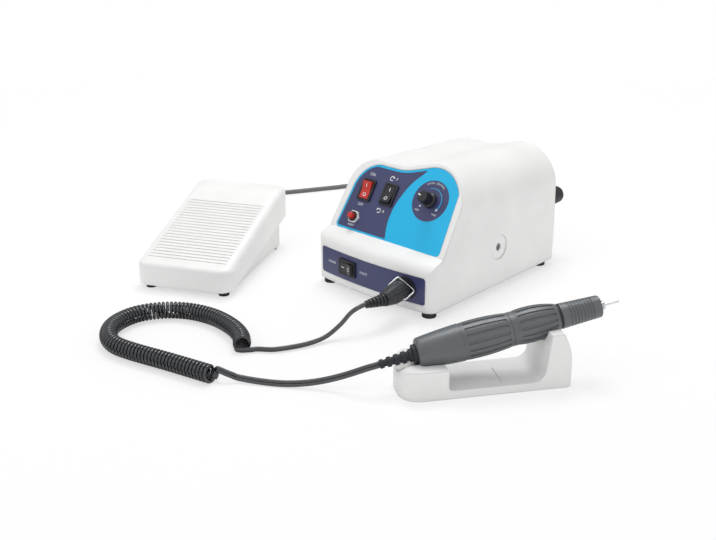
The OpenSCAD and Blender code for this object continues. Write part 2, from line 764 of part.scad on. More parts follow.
// Profile of the y, z plane drawn out along x
module along_x(half) { translate([-half, 0, 0]) rotate([90, 0, 90]) linear_extrude(2 * half) children(); }
module treadle_mass(inset) {
  r = pedal_corner - inset;
  e = pedal_edge - inset;
  hull() for (x = [-1, 1], y = [pedal_corner, pedal_l - pedal_corner])
    translate([x * (pedal_w / 2 - pedal_corner), y, 0]) {
      cylinder(r = r, h = 1, $fn = 32);
      translate([0, 0, tread_z(y) - inset - e]) rotate_extrude($fn = 32)
        translate([r - e, 0]) circle(r = e, $fn = 24);
    }
}
module skirt_side() {
  run = (skirt_rear - skirt_front) / pedal_l;
  along_x(pedal_w) polygon([[-10, skirt_front - 10 * run], [pedal_l + 10, skirt_rear + 10 * run],
    [pedal_l + 10, far], [-10, far]]);
}
groove_from = 13;
groove_to = 111;
groove_half = 39;
groove_w = 2;
groove_deep = 0.8;
module treadle() {
  pitch = (groove_to - groove_from) / (groove_count - 1);
  color("white") at_pedal() difference() {
    union() {
      intersection() {
        difference() {
          treadle_mass(0);
          translate([0, 0, -1]) treadle_mass(treadle_t);
        }
        skirt_side();
      }
      intersection() {
        treadle_mass(treadle_t / 2);
        union() {
          mirrored_x()
            translate([tread_lug_x - lug_t / 2, hinge_at[0] - hinge_half, hinge_at[1] - hinge_half])
              cube([lug_t, 2 * hinge_half, far]);
          translate([0, switch_y, plunger_top + 0.3]) cylinder(r = 3, h = far);
        }
      }
    }
    translate([-tread_lug_x - lug_t, hinge_at[0], hinge_at[1]]) rotate([0, 90, 0])
      cylinder(r = pin_r + run_gap, h = 2 * (tread_lug_x + lug_t));
    translate([0, 0, pedal_front_z]) rotate([tread_a, 0, 0]) for (i = [0 : groove_count - 1])
      translate([-groove_half, groove_from + i * pitch - groove_w / 2, -groove_deep])
        cube([2 * groove_half, groove_w, 5]);
  }
}
module tray_plan(inset) {
  front = treadle_t + skirt_gap;
  w = pedal_w - 2 * (front + inset);
  l = base_rear_y - front - 2 * inset;
  translate([0, (base_rear_y + front) / 2]) round_outline(w, l, pedal_corner - front - inset);
}
module tray_cut() {
  front = treadle_t + skirt_gap;
  along_x(pedal_w) polygon([[0, 0], [pedal_l, 0], [base_rear_y, tray_rear_z], [front, tray_front_z]]);
}
module pedal_base() {
  floor_z = pedal_foot_h + tray_t;
  color("#f4f4f2") at_pedal() difference() {
    union() {
      intersection() {
        difference() {
          translate([0, 0, pedal_foot_h]) linear_extrude(tray_rear_z) tray_plan(0);
          translate([0, 0, floor_z]) linear_extrude(tray_rear_z) tray_plan(tray_t);
        }
        tray_cut();
      }
      mirrored_x() translate([base_lug_x - lug_t / 2, hinge_at[0] - hinge_half, floor_z - tiny])
        cube([lug_t, 2 * hinge_half, hinge_at[1] + hinge_half - floor_z]);
      translate([0, spring_y, floor_z - tiny]) cylinder(r = spring_r - spring_wire - 0.4, h = 7);
    }
    translate([-base_lug_x - lug_t, hinge_at[0], hinge_at[1]]) rotate([0, 90, 0])
      cylinder(r = pin_r + run_gap, h = 2 * (base_lug_x + lug_t));
    translate([0, base_rear_y - 10, gland_z]) rotate([-90, 0, 0]) cylinder(r = gland_r + fit_gap, h = 20);
  }
}
module treadle_pin() {
  half = tread_lug_x + lug_t / 2 + 1;
  color("silver") at_pedal() translate([-half, hinge_at[0], hinge_at[1]]) rotate([0, 90, 0])
    cylinder(r = pin_r, h = 2 * half);
}
module foot_switch() {
  color("#1e1e20") at_pedal() translate([0, switch_y, pedal_foot_h + tray_t]) difference() {
    translate([-switch_size[0] / 2, -switch_size[1] / 2, 0]) cube(switch_size);
    translate([0, 0, 5]) cylinder(r = plunger_r + run_gap, h = 20);
  }
}
module switch_plunger() {
  travel = (switch_y - hinge_at[0]) * sin(treadle_swing);
  start = pedal_foot_h + tray_t + 5 + travel + move_gap;
  color("#b3261e") at_pedal() translate([0, switch_y, start]) cylinder(r = plunger_r, h = plunger_top - start);
}
module pedal_gland() {
  color("#3a3b3e") at_pedal() translate([0, base_rear_y, gland_z]) rotate([-90, 0, 0]) {
    translate([0, 0, -tray_t - 2]) cylinder(r = gland_r, h = tray_t + 2 + tiny);
    cylinder(r = gland_r + 1.6, h = 2);
    translate([0, 0, 2 - tiny]) ribbed_sleeve(gland_l - 2, gland_r, 3.4, 4, 0);
  }
}
pedal_foot_r = 5;
module pedal_feet() {
  color("#222222") at_pedal() for (y = [10.5, base_rear_y - 10]) mirrored_x()
    translate([pedal_w / 2 - 11, y, 0]) cylinder(r = pedal_foot_r, h = pedal_foot_h);
}

// Handpiece: its axis is z, from the rear end to the nose
hand_at = [4.9, cradle_w / 2, 29.6];
collar_s = cap_l;
waist_s = collar_s + motor_l;
front_s = waist_s + grip_l;
ring_t = 2;
sleeve_s = front_s + ring_t;
nose_s = sleeve_s + sleeve_l;
waist_ring = 3;
function bulge(t, r0, r1, b) = r0 + (r1 - r0) * t + 4 * b * t * (1 - t);
function swell(s0, s1, r0, r1, b, n = 12) = [
  for (i = [0 : n]) let (t = i / n) [bulge(t, r0, r1, b), s0 + (s1 - s0) * t]
];
cap_round = 3;
cap_line = concat(
  arc([cap_r - cap_round, cap_round], cap_round, -90, -8, 6),
  swell(cap_round + 0.5, collar_s, cap_r + 0.1, collar_r, 0.25)
);
motor_line = swell(collar_s, waist_s, collar_r - 0.4, waist_r - 0.2, 1.1);
grip_line = swell(waist_s + waist_ring, front_s, waist_r - 0.1, front_r, 2);
sleeve_r = front_r - 0.6;
function grown(line, by) = [for (p = line) [p[0] + by, p[1]]];
module at_hand() { at_cradle() translate(hand_at) rotate([0, 90 - hand_tilt, 0]) children(); }
module hand_mass(by) {
  rotate_extrude() polygon(concat(
    [[0, -by]], grown(cap_line, by), grown(motor_line, by), grown(grip_line, by),
    [[sleeve_r + by, front_s], [nose_r + by, nose_s], [0, nose_s]]
  ));
}
// Flutes: shallow channels along a swelling grip
module flutes(line, s0, s1) {
  deep = 0.7;
  wide = 9;
  low = [for (p = line) if (p[1] > s0 && p[1] < s1) p];
  for (i = [0 : flute_count - 1]) rotate([0, 0, i * 360 / flute_count])
    rotate_extrude(angle = wide) polygon(concat(
      grown(low, -deep), [[collar_r + 5, s1], [collar_r + 5, s0]]
    ));
}
cradle_from = -11;
cradle_to = cradle_from + cradle_l;
block_to = 25;
module cradle_side() {
  lean_r = 80;
  foot_z = 8;
  lean_a = asin((support_z - foot_z) / lean_r);
  top_w = 10;
  face_u = cradle_to - lean_r * (1 - cos(lean_a)) - top_w;
  fillet = 10;
  polygon(concat(
    [[cradle_from, 0], [cradle_to, 0]],
    arc([cradle_to - lean_r, foot_z], lean_r, 0, lean_a, 8),
    [[face_u, support_z], [face_u - 3, cradle_floor + fillet]],
    arc([face_u - 3 - fillet, cradle_floor + fillet], fillet, 0, -90, 8),
    arc([block_to + 3, cradle_floor + 3], 3, 270, 180, 5),
    arc([block_to - 2, block_z - 2], 2, 0, 90, 5),
    arc([cradle_from + 10, block_z - 10], 10, 90, 180, 8)
  ));
}
module cradle_plan() {
  rear_round = 16;
  front_round = 5;
  polygon(concat(
    arc([cradle_to - front_round, cradle_w - front_round], front_round, 0, 90, 6),
    arc([cradle_from + rear_round, cradle_w - rear_round], rear_round, 90, 180, 10),
    arc([cradle_from + rear_round, rear_round], rear_round, 180, 270, 10),
    arc([cradle_to - front_round, front_round], front_round, 270, 360, 6)
  ));
}
seat_gap = 0.3;
relief_way_r = 9.4;
module cradle() {
  color("#ececea") at_cradle() difference() {
    intersection() {
      translate([0, cradle_w, 0]) rotate([90, 0, 0]) linear_extrude(cradle_w) cradle_side();
      linear_extrude(far) cradle_plan();
    }
    translate(hand_at) rotate([0, 90 - hand_tilt, 0]) {
      hand_mass(seat_gap);
      translate([0, 0, -20]) cylinder(r = relief_way_r, h = 22);
    }
  }
}
cap_wall = 2.2;
spigot_r = 11.6;
spigot_l = 6;
relief_hole_r = 5.2;
module rear_cap() {
  color("#6d7072") at_hand() difference() {
    rotate_extrude() polygon(concat([[0, 0]], cap_line, [[0, collar_s]]));
    rotate_extrude() polygon(concat([[0, 4], [cap_r - cap_wall, 4]],
      grown([for (p = cap_line) if (p[1] > 4) p], -cap_wall),
      [[spigot_r + fit_gap, collar_s + 1], [0, collar_s + 1]]));
    translate([0, 0, -1]) cylinder(r = relief_hole_r, h = 10);
  }
}
hand_relief_l = 26;
hand_droop = 2;
relief_neck = 3;
module cord_relief() {
  color("#1f2022") at_hand() {
    translate([0, 0, -relief_neck]) cylinder(r = relief_hole_r - fit_gap, h = 4.5 + relief_neck);
    translate([0, 0, 4.2]) cylinder(r = relief_hole_r + 0.9, h = 1.6);
    translate([0, 0, -relief_neck]) cylinder(r = relief_hole_r + 2.5, h = relief_neck - 0.2);
    translate([0, 0, -relief_neck]) rotate([0, 180 - hand_droop, 0]) {
      sphere(r = 4.2, $fn = 32);
      ribbed_sleeve(hand_relief_l, 5.2, 3.6, 4, 0);
    }
  }
}
bore_r = 10.6;
web_t = 4;
race_gap = 0.02;
axle_r = 1.5;
spin_r = 3.5;
rear_race = [24, 27, 4];
mid_race = [waist_s - web_t, waist_s - 1, 4.5];
back_race = [waist_s + 14, waist_s + 19, 6.5];
nose_race = [nose_s - 16, nose_s - 11, 6.5];
module motor_housing() {
  color("#63686a") at_hand() difference() {
    union() {
      rotate_extrude() polygon(concat([[0, collar_s]], motor_line, [[0, waist_s]]));
      translate([0, 0, collar_s - spigot_l]) cylinder(r = spigot_r, h = spigot_l + tiny);
    }
    translate([0, 0, collar_s - spigot_l - 1]) cylinder(r = bore_r, h = motor_l + spigot_l + 1 - web_t);
    translate([0, 0, mid_race[0] - 1]) cylinder(r = mid_race[2] + race_gap, h = web_t);
    cylinder(r = axle_r + 1, h = waist_s + 5);
    flutes(motor_line, collar_s + 3, waist_s - 3);
  }
}
grip_bore = 8;
module front_grip() {
  color("#63686a") at_hand() difference() {
    rotate_extrude() polygon(concat(
      [[0, waist_s], [waist_r, waist_s], [waist_r, waist_s + waist_ring]], grip_line, [[0, front_s]]
    ));
    translate([0, 0, waist_s - 1]) cylinder(r = grip_bore, h = back_race[0] - waist_s + 1);
    translate([0, 0, back_race[0] - 1]) cylinder(r = back_race[2] + race_gap, h = 6);
    translate([0, 0, back_race[1]]) cylinder(r = grip_bore, h = grip_l);
    flutes(grip_line, waist_s + waist_ring + 1.5, front_s - 1.5);
  }
}
tube_r = 7.5;
module dust_ring() {
  color("#161718") at_hand() translate([0, 0, front_s]) ring(front_r - 0.9, tube_r + run_gap, ring_t);
}
module nose_tube() {
  color("#b9bcc0") at_hand() difference() {
    union() {
      translate([0, 0, front_s - 10]) cylinder(r = grip_bore - race_gap, h = 9);
      translate([0, 0, front_s - 2]) cylinder(r = tube_r, h = nose_s - 2.4 - front_s + 2);
    }
    translate([0, 0, front_s - 11]) cylinder(r = nose_race[2] + race_gap, h = far);
  }
}
nose_rings = 8;
lip_r = 4;
module chuck_sleeve() {
  start = sleeve_s + move_gap;
  pitch = 2.6;
  first = start + 6;
  function sleeve_at(s) = sleeve_r + (nose_r - sleeve_r) * (s - start) / (nose_s - start);
  color("#63686a") at_hand() difference() {
    rotate_extrude() polygon(concat(
      [[0, start], [sleeve_r, start]],
      [for (i = [0 : nose_rings - 1], k = [0 : 3])
        let (s = first + i * pitch + [0, 0.3, 1.1, 1.4][k]) [sleeve_at(s) - [0, 0.5, 0.5, 0][k], s]],
      arc([nose_r - 1.2, nose_s - 1.2], 1.2, 0, 90, 6), [[0, nose_s]]
    ));
    translate([0, 0, start - 1]) cylinder(r = tube_r + run_gap, h = sleeve_l - 1 - move_gap);
    cylinder(r = lip_r, h = far);
  }
}
magnet_r = 8.4;
magnet_from = collar_s + 3;
magnet_to = waist_s - web_t - 3;
module field_magnet() {
  color("#4a4d52") at_hand() translate([0, 0, magnet_from]) difference() {
    ring(bore_r - 0.1, magnet_r, magnet_to - magnet_from);
    translate([-1.5, -far / 2, -1]) cube([3, far, far]);
  }
}
core_r = magnet_r - 0.5;
module armature() {
  from = magnet_from + 4;
  long = magnet_to - magnet_from - 8;
  color("#8a5a2b") at_hand() translate([0, 0, from]) difference() {
    union() {
      cylinder(r = core_r, h = long);
      translate([0, 0, -3]) cylinder(r = core_r - 1.5, h = long + 6);
    }
    for (i = [0 : 6]) rotate([0, 0, i * 360 / 7]) translate([core_r - 1.2, -0.6, -1]) cube([3, 1.2, long + 2]);
    translate([0, 0, -10]) cylinder(r = axle_r + race_gap, h = far);
  }
}
comm_r = 3.4;
module commutator() {
  color("#b87333") at_hand() translate([0, 0, 28]) difference() {
    cylinder(r = comm_r, h = 8);
    for (i = [0 : 6]) rotate([0, 0, i * 360 / 7]) translate([comm_r - 0.5, -0.15, -1]) cube([2, 0.3, 10]);
    translate([0, 0, -1]) cylinder(r = axle_r + race_gap, h = 10);
  }
}
brush_s = 31;
brush_w = 4;
holder_r = bore_r - 0.1;
module brush_holder() {
  color("#3b2f2a") at_hand() difference() {
    union() {
      translate([0, 0, 27]) cylinder(r = holder_r, h = 8);
      translate([0, 0, 22.5]) cylinder(r = 6, h = 5);
    }
    translate([0, 0, rear_race[0]]) cylinder(r = rear_race[2] + race_gap, h = 3);
    translate([0, 0, 20]) cylinder(r = axle_r + 0.8, h = 10);
    translate([0, 0, 27 - tiny]) cylinder(r = comm_r + 0.6, h = 20);
    translate([-brush_w / 2 - run_gap, -holder_r - 1, brush_s - brush_w / 2 - run_gap])
      cube([brush_w + 2 * run_gap, 2 * holder_r + 2, brush_w + 2 * run_gap]);
  }
}
module brushes() {
  color("#2b2b2b") at_hand() for (a = [0, 180]) rotate([0, 0, a]) {
    translate([-brush_w / 2, comm_r + 0.1, brush_s - brush_w / 2]) cube([brush_w, 4, brush_w]);
    translate([0, comm_r + 4.1, brush_s]) rotate([-90, 0, 0]) cylinder(r = 1.4, h = holder_r - comm_r - 4.3);
  }
}
module bearings() {
  color("silver") at_hand() {
    translate([0, 0, rear_race[0]]) ring(rear_race[2], axle_r + race_gap, rear_race[1] - rear_race[0]);
    translate([0, 0, mid_race[0]]) ring(mid_race[2], axle_r + race_gap, mid_race[1] - mid_race[0]);
    for (b = [back_race, nose_race]) translate([0, 0, b[0]]) ring(b[2], spin_r + race_gap, b[1] - b[0]);
  }
}
collet_r = 2.15;
module spindle() {
  color("#c3c6ca") at_hand() difference() {
    union() {
      translate([0, 0, 21]) cylinder(r = axle_r, h = waist_s + 6 - 21);
      translate([0, 0, waist_s + 5]) cylinder(r = spin_r, h = nose_s - 4 - waist_s - 5);
    }
    translate([0, 0, nose_s - 32]) cylinder(r = collet_r + race_gap, h = far);
  }
}
tip_l = 4;
module collet() {
  head = 3.6;
  color("#d9dbde") at_hand() difference() {
    union() {
      translate([0, 0, nose_s - 30]) cylinder(r = collet_r, h = 30);
      rotate_extrude() polygon(concat(
        [[0, nose_s - 3.6], [head, nose_s - 3.6], [head, nose_s + 1.2], [head - 0.7, nose_s + 1.6],
         [head - 0.7, nose_s + 2.2], [head, nose_s + 2.6]],
        arc([head - 0.6, nose_s + tip_l - 0.6], 0.6, 0, 90, 4), [[0, nose_s + tip_l]]
      ));
    }
    translate([0, 0, nose_s - 24]) cylinder(r = shank_r + race_gap, h = far);
  }
}
shank_out = 16;
module tool_shank() {
  color("#c9ccd0") at_hand() rotate_extrude() polygon([
    [0, nose_s - 23], [shank_r, nose_s - 23], [shank_r, nose_s + shank_out - 0.4],
    [shank_r - 0.4, nose_s + shank_out], [0, nose_s + shank_out]
  ]);
}

// Cords: smooth routes through points, and round tubes along them
function unit(v) = v / norm(v);
function blend(a, b, c, d, t) =
  b + 0.5 * t * (c - a + t * (2 * a - 5 * b + 4 * c - d + t * (3 * (b - c) + d - a)));
function route(p, n) = [
  for (i = [0 : len(p) - 2], k = [0 : n - 1])
    blend(p[max(i - 1, 0)], p[i], p[i + 1], p[min(i + 2, len(p) - 1)], k / n),
  p[len(p) - 1]
];
function headings(p) = [
  for (i = [0 : len(p) - 1]) unit(p[min(i + 1, len(p) - 1)] - p[max(i - 1, 0)])
];
function flat_to(n, t) = unit(n - (n * t) * t);
function sides_of(t) = [
  for (i = 0, n = flat_to([0.3, 0.2, 1], t[0]); i < len(t); i = i + 1, n = i < len(t) ? flat_to(n, t[i]) : n) n
];
module tube(p, d, sides) {
  t = headings(p);
  n = sides_of(t);
  last = (len(p) - 1) * sides;
  polyhedron(
    points = [for (i = [0 : len(p) - 1], k = [0 : sides - 1])
      let (a = 360 * k / sides) p[i] + d / 2 * (cos(a) * n[i] + sin(a) * cross(t[i], n[i]))],
    faces = concat(
      [[for (k = [0 : sides - 1]) k]],
      [for (i = [0 : len(p) - 2], k = [0 : sides - 1])
        [i * sides + k, (i + 1) * sides + k, (i + 1) * sides + (k + 1) % sides]],
      [for (i = [0 : len(p) - 2], k = [0 : sides - 1])
        [i * sides + k, (i + 1) * sides + (k + 1) % sides, i * sides + (k + 1) % sides]],
      [[for (k = [sides - 1 : -1 : 0]) last + k]]
    )
  );
}

// Motor cord from the plug to the curls
plug_way = [-cos(plug_droop) * sin(plug_swing), -sin(plug_droop), cos(plug_droop) * cos(plug_swing)];
socket_turn = asin(socket_at[0] / bow_r);
function out_of_box(p) = [
  p[0] * cos(socket_turn) + p[2] * sin(socket_turn), p[0] * sin(socket_turn) - p[2] * cos(socket_turn), p[1]
];
socket_out = in_box([socket_at[0], bow_y(socket_at[0]), socket_at[1]]);
cord_from = socket_out + out_of_box([0, 0, nose_out + plug_l] + relief_l * plug_way);
cord_way = out_of_box(plug_way);
on_table = [set_x, set_y, 0];
curl_z = 7.7;
curl_r = 6.2;
curl_path = [
  [-4.4, -181.4, curl_z], [-15.5, -172.6, curl_z], [-34, -165.1, curl_z], [-60.6, -162.2, curl_z],
  [-86.4, -168.3, curl_z], [-105.6, -182.8, curl_z], [-115.8, -204, curl_z], [-113.5, -226.5, curl_z],
  [-101.5, -243, curl_z], [-83.4, -251.6, curl_z], [-62.3, -250.4, curl_z], [-22.2, -241.1, curl_z],
  [17.7, -232.6, curl_z]
];
curl_axis = route([for (p = curl_path) p + on_table], 8);
function run_of(p) = [
  for (i = 0, s = 0; i < len(p); s = i + 1 < len(p) ? s + norm(p[i + 1] - p[i]) : s, i = i + 1) s
];
curl_run = run_of(curl_axis);
curl_l = curl_run[len(curl_run) - 1];
curl_xs = [for (i = [0 : len(curl_run) - 1]) [curl_run[i], curl_axis[i][0]]];
curl_ys = [for (i = [0 : len(curl_run) - 1]) [curl_run[i], curl_axis[i][1]]];
function axis_at(s) = [lookup(s, curl_xs), lookup(s, curl_ys), curl_z];
function axis_way(s) = unit(axis_at(min(s + 2, curl_l)) - axis_at(max(s - 2, 0)));
curl_steps = 7;
curl_marks = curl_count * curl_steps;
down = [0, 0, -1];
curls = [
  for (m = [0 : curl_marks]) let (
    s = curl_l * m / curl_marks,
    a = (360 * curl_count + 90) * m / curl_marks
  ) axis_at(s) + curl_r * (cos(a) * down + sin(a) * cross(axis_way(s), down))
];
lead_way = cross(axis_way(0), down);
curl_from = curls[0] - 9 * lead_way;
tail_from = curls[curl_marks];
tail_to = on_table + [25.5, -222.3, 7];
tail_next = on_table + [33, -216.8, 3.6];
tail_way = unit(tail_next - tail_to);
function bend_at(a, b, c, d, t) =
  pow(1 - t, 3) * a + 3 * t * pow(1 - t, 2) * b + 3 * t * t * (1 - t) * c + t * t * t * d;
tail = [
  for (i = [1 : 5])
    bend_at(tail_from, tail_from - 3.5 * down, tail_to - 6.5 * tail_way, tail_to - 2.5 * tail_way, i / 5),
  tail_to
];
curl_line = concat([curl_from, curl_from + 3 * lead_way, curl_from + 6 * lead_way], curls, tail);
least_gap = min([
  for (i = [0 : curl_marks], j = [4 : 10]) if (i + j <= curl_marks) norm(curls[i] - curls[i + j]) - curl_d
]);
echo(curl_length = curl_l, least_gap = least_gap);
module motor_cord() {
  color("#3f4246") tube(concat(
    [cord_from, cord_from + 4 * cord_way],
    route([for (p = [
      [38.2, -96.6, 21], [35, -107, 12], [31.2, -121.2, 4.2], [26, -139.5, 2.1], [15.5, -161, 1.9]
    ]) p + on_table], 3),
    [curl_from - 4 * lead_way, curl_from]
  ), cord_d, 8);
}
module curly_cord() {
  color("#3a3d41") tube(curl_line, curl_d, 6);
}
hand_end = [hand_relief_l * sin(hand_droop), 0, -relief_neck - hand_relief_l * cos(hand_droop)];
hand_back = [sin(hand_droop), 0, -cos(hand_droop)];
function tipped(p) = let (a = 90 - hand_tilt)
  [p[0] * cos(a) + p[2] * sin(a), p[1], p[2] * cos(a) - p[0] * sin(a)];
hand_from = in_cradle(hand_at + tipped(hand_end));
hand_way = turned(tipped(hand_back), cradle_yaw);
module hand_cord() {
  color("#3f4246") tube(concat(
    [tail_to, tail_to + 3 * tail_way],
    route([for (p = [
      [33, -216.8, 3.6], [50.7, -206.6, 2.1], [66.5, -196.4, 2.4], [82, -185, 5.6], [98, -173.5, 11.4]
    ]) p + on_table], 3),
    [hand_from + 10 * hand_way, hand_from + 4 * hand_way, hand_from]
  ), cord_d, 8);
}

// Foot cord from the pedal to its coil, and from the coil to its plug
coil_at = [-20, 208] + [set_x, set_y];
coil_pitch = foot_cord_d + 0.6;
coil_z = foot_cord_d / 2;
coil_rise = foot_cord_d + 0.5;
coil_steps = 20;
coil_out = 34;
turns_in = coil_turns / 2;
turns_out = coil_turns - turns_in - 0.5;
coil_in = coil_out - coil_pitch * turns_in;
function coil_r(n) = n < turns_in ? coil_out - coil_pitch * n
  : n < turns_in + 0.5 ? coil_in - coil_pitch * (0.25 - abs(n - turns_in - 0.25))
  : coil_in + coil_pitch * (n - turns_in - 0.5);
function coil_level(n) = coil_z + coil_rise * max(0, min(1, 2 * (n - turns_in)));
coil_line = [
  for (m = [0 : coil_turns * coil_steps]) let (n = m / coil_steps, a = 90 - 360 * n)
    [coil_at[0] + coil_r(n) * cos(a), coil_at[1] + coil_r(n) * sin(a), coil_level(n)]
];
coil_first = coil_line[0] - [6, 0, 0];
coil_last = coil_line[len(coil_line) - 1] + [6, 0, 0];
gland_way = turned([0, 1, 0], pedal_yaw);
gland_end = in_pedal([0, base_rear_y + gland_l, gland_z]);
jack_end = in_box(
  [jack_at[0] + foot_relief_in - foot_plug_r - foot_relief_l, box_d + foot_plug_out, jack_at[1]]
);
module foot_cord() {
  color("#65676b") {
    tube(concat(
      [gland_end, gland_end + 6 * gland_way],
      route([for (p = [
        [-213, 24, 8], [-224, 47, 3], [-243, 84, 2.5], [-260, 110, 2.5], [-271, 129, 2.5], [-269, 144, 2.5],
        [-259, 161, 2.5], [-239, 196.5, 2.5], [-210, 222, 2.5], [-168, 237, 2.5], [-118, 243, 2.5],
        [-66, 242, 2.5]
      ]) p + on_table], 4),
      [coil_first - [14, 0, 0], coil_first - [6, 0, 0], coil_first]
    ), foot_cord_d, 10);
    tube(concat(
      [coil_last, coil_last + [6, 0, 0]],
      route([for (p = [
        [4, 238, 9], [16, 230, 16], [19, 214, 30], [10, 197, 46], [5, 184, 56]
      ]) p + on_table], 3),
      [jack_end - [13, 0, 0.6], jack_end - [5, 0, 0], jack_end]
    ), foot_cord_d, 10);
  }
}
module foot_coil() {
  color("#65676b") tube(concat([coil_first], coil_line, [coil_last]), foot_cord_d, 6);
}
module pedal_spring() {
  steps = 8;
  low = pedal_foot_h + tray_t + 0.3 + spring_wire / 2;
  high = tread_z(spring_y) - treadle_t * 1.05 - tread_slope * (spring_r + spring_wire) - 0.5 - spring_wire / 2;
  color("silver") at_pedal() translate([0, spring_y, 0]) tube([
    for (m = [0 : spring_turns * steps])
      let (a = 360 * m / steps, z = low + (high - low) * m / (spring_turns * steps))
        [spring_r * cos(a), spring_r * sin(a), z]
  ], spring_wire, 6);
}

housing();
base_plate();
upper_panel();
lower_panel();
box_feet();
housing_screws();
power_switch();
power_rocker();
direction_switch();
direction_rocker();
mode_switch();
mode_rocker();
reset_breaker();
reset_nut();
reset_button();
speed_control();
speed_shaft();
speed_knob();
motor_socket();
motor_plug();
plug_bail();
transformer_core();
transformer_coil();
control_board();
heat_sink();
mains_inlet();
fuse_holder();
fuse_cap();
foot_jack();
foot_plug();
pedal_base();
treadle();
treadle_pin();
pedal_spring();
foot_switch();
switch_plunger();
pedal_gland();
pedal_feet();
cradle();
rear_cap();
cord_relief();
motor_housing();
front_grip();
dust_ring();
nose_tube();
chuck_sleeve();
field_magnet();
armature();
commutator();
brush_holder();
brushes();
bearings();
spindle();
collet();
tool_shank();
motor_cord();
curly_cord();
hand_cord();
foot_cord();
foot_coil();
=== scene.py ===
import math
import bpy
import bmesh
import numpy as np
from mathutils import Matrix, Vector


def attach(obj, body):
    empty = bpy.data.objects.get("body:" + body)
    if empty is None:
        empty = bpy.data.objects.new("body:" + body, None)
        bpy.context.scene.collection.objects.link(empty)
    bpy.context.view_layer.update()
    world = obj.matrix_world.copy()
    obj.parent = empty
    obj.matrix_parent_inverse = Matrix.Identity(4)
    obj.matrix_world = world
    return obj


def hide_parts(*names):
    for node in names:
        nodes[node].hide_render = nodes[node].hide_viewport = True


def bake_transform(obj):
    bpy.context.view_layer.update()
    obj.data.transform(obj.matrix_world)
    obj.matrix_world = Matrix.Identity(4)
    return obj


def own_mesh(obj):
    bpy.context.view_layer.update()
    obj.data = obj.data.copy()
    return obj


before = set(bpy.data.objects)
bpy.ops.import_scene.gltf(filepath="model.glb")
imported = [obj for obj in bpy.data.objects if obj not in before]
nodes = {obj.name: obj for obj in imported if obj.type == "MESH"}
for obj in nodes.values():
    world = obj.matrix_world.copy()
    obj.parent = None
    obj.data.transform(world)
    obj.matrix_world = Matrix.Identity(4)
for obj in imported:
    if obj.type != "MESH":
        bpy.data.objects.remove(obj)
scene = bpy.context.scene
scene.view_settings.view_transform = "Standard"


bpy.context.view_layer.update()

# Camera fitted to the photo
cameraPlan = {"place": (0.61757, -0.71602, 0.40170), "tilt": 67.8495, "turn": 42.7352, "lens": 55.307}
cameraData = bpy.data.cameras.new("photoCamera")
cameraData.sensor_width = 36
cameraData.lens = cameraPlan["lens"]
cameraData.clip_start = 0.01
camera = bpy.data.objects.new("photoCamera", cameraData)
camera.location = cameraPlan["place"]
camera.rotation_euler = (math.radians(cameraPlan["tilt"]), 0, math.radians(cameraPlan["turn"]))
scene.collection.objects.link(camera)
scene.camera = camera
print("camera set")


# Materials
class Shader:
    def __init__(self, name):
        self.material = bpy.data.materials.new(name)
        self.material.use_nodes = True
        self.tree = self.material.node_tree
        self.surface = self.tree.nodes["Principled BSDF"]
        self.coords = self.tree.nodes.new("ShaderNodeTexCoord").outputs["Object"]

    def node(self, kind, inputs=None, **settings):
        made = self.tree.nodes.new(kind)
        for key, value in settings.items():
            setattr(made, key, value)
        for key, value in (inputs or {}).items():
            self.put(made.inputs[key], value)
        return made

    def put(self, socket, value):
        if isinstance(value, bpy.types.NodeSocket):
            self.tree.links.new(value, socket)
        else:
            socket.default_value = value

    def math(self, kind, a, b=0.0, c=0.0):
        made = self.tree.nodes.new("ShaderNodeMath")
        made.operation = kind
        for i, value in enumerate((a, b, c)):
            self.put(made.inputs[i], value)
        return made.outputs[0]

    def noise(self, scale, detail=2.0, rough=0.5, coords=None):
        made = self.node("ShaderNodeTexNoise", {"Scale": scale, "Detail": detail, "Roughness": rough,
                                                "Vector": coords or self.coords})
        return made.outputs["Fac"]

    def span(self, value, low, high, fromLow=0.3, fromHigh=0.7):
        made = self.node("ShaderNodeMapRange", {"Value": value, "From Min": fromLow, "From Max": fromHigh,
                                                "To Min": low, "To Max": high})
        return made.outputs["Result"]

    def mix(self, share, a, b):
        made = self.tree.nodes.new("ShaderNodeMix")
        made.data_type = "RGBA"
        self.put(made.inputs[0], share)
        self.put(made.inputs[6], a)
        self.put(made.inputs[7], b)
        return made.outputs[2]

    def set(self, **values):
        for key, value in values.items():
            self.put(self.surface.inputs[key.replace("_", " ")], value)


def rgb(*values):
    return tuple(((v / 255 + 0.055) / 1.055) ** 2.4 if v > 10 else v / 3294.6 for v in values) + (1.0,)


def shade(color, by):
    return tuple(c * by for c in color[:3]) + (1.0,)


# A moulded or painted surface: fine grain, faint mottle in colour and gloss, softened edges
def mouldedMaterial(name, color, rough=0.4, grain=900.0, depth=0.03, mottle=0.04, edge=0.0, metal=0.0,
                    gloss=0.5):
    s = Shader(name)
    broad = s.noise(28.0, 3.0)
    fine = s.noise(grain, 2.0)
    tint = s.mix(s.span(broad, 0.0, 1.0), shade(color, 1 - mottle), shade(color, 1 + mottle * 0.4))
    s.set(Base_Color=tint, Roughness=s.span(s.noise(60.0, 4.0), rough - 0.05, rough + 0.06), Metallic=metal)
    s.set(Specular_IOR_Level=gloss)
    bump = s.node("ShaderNodeBump", {"Height": fine, "Strength": depth, "Distance": 0.0004})
    if edge:
        bevel = s.node("ShaderNodeBevel", {"Radius": edge}, samples=6)
        s.put(bump.inputs["Normal"], bevel.outputs["Normal"])
    s.set(Normal=bump.outputs["Normal"])
    return s.material


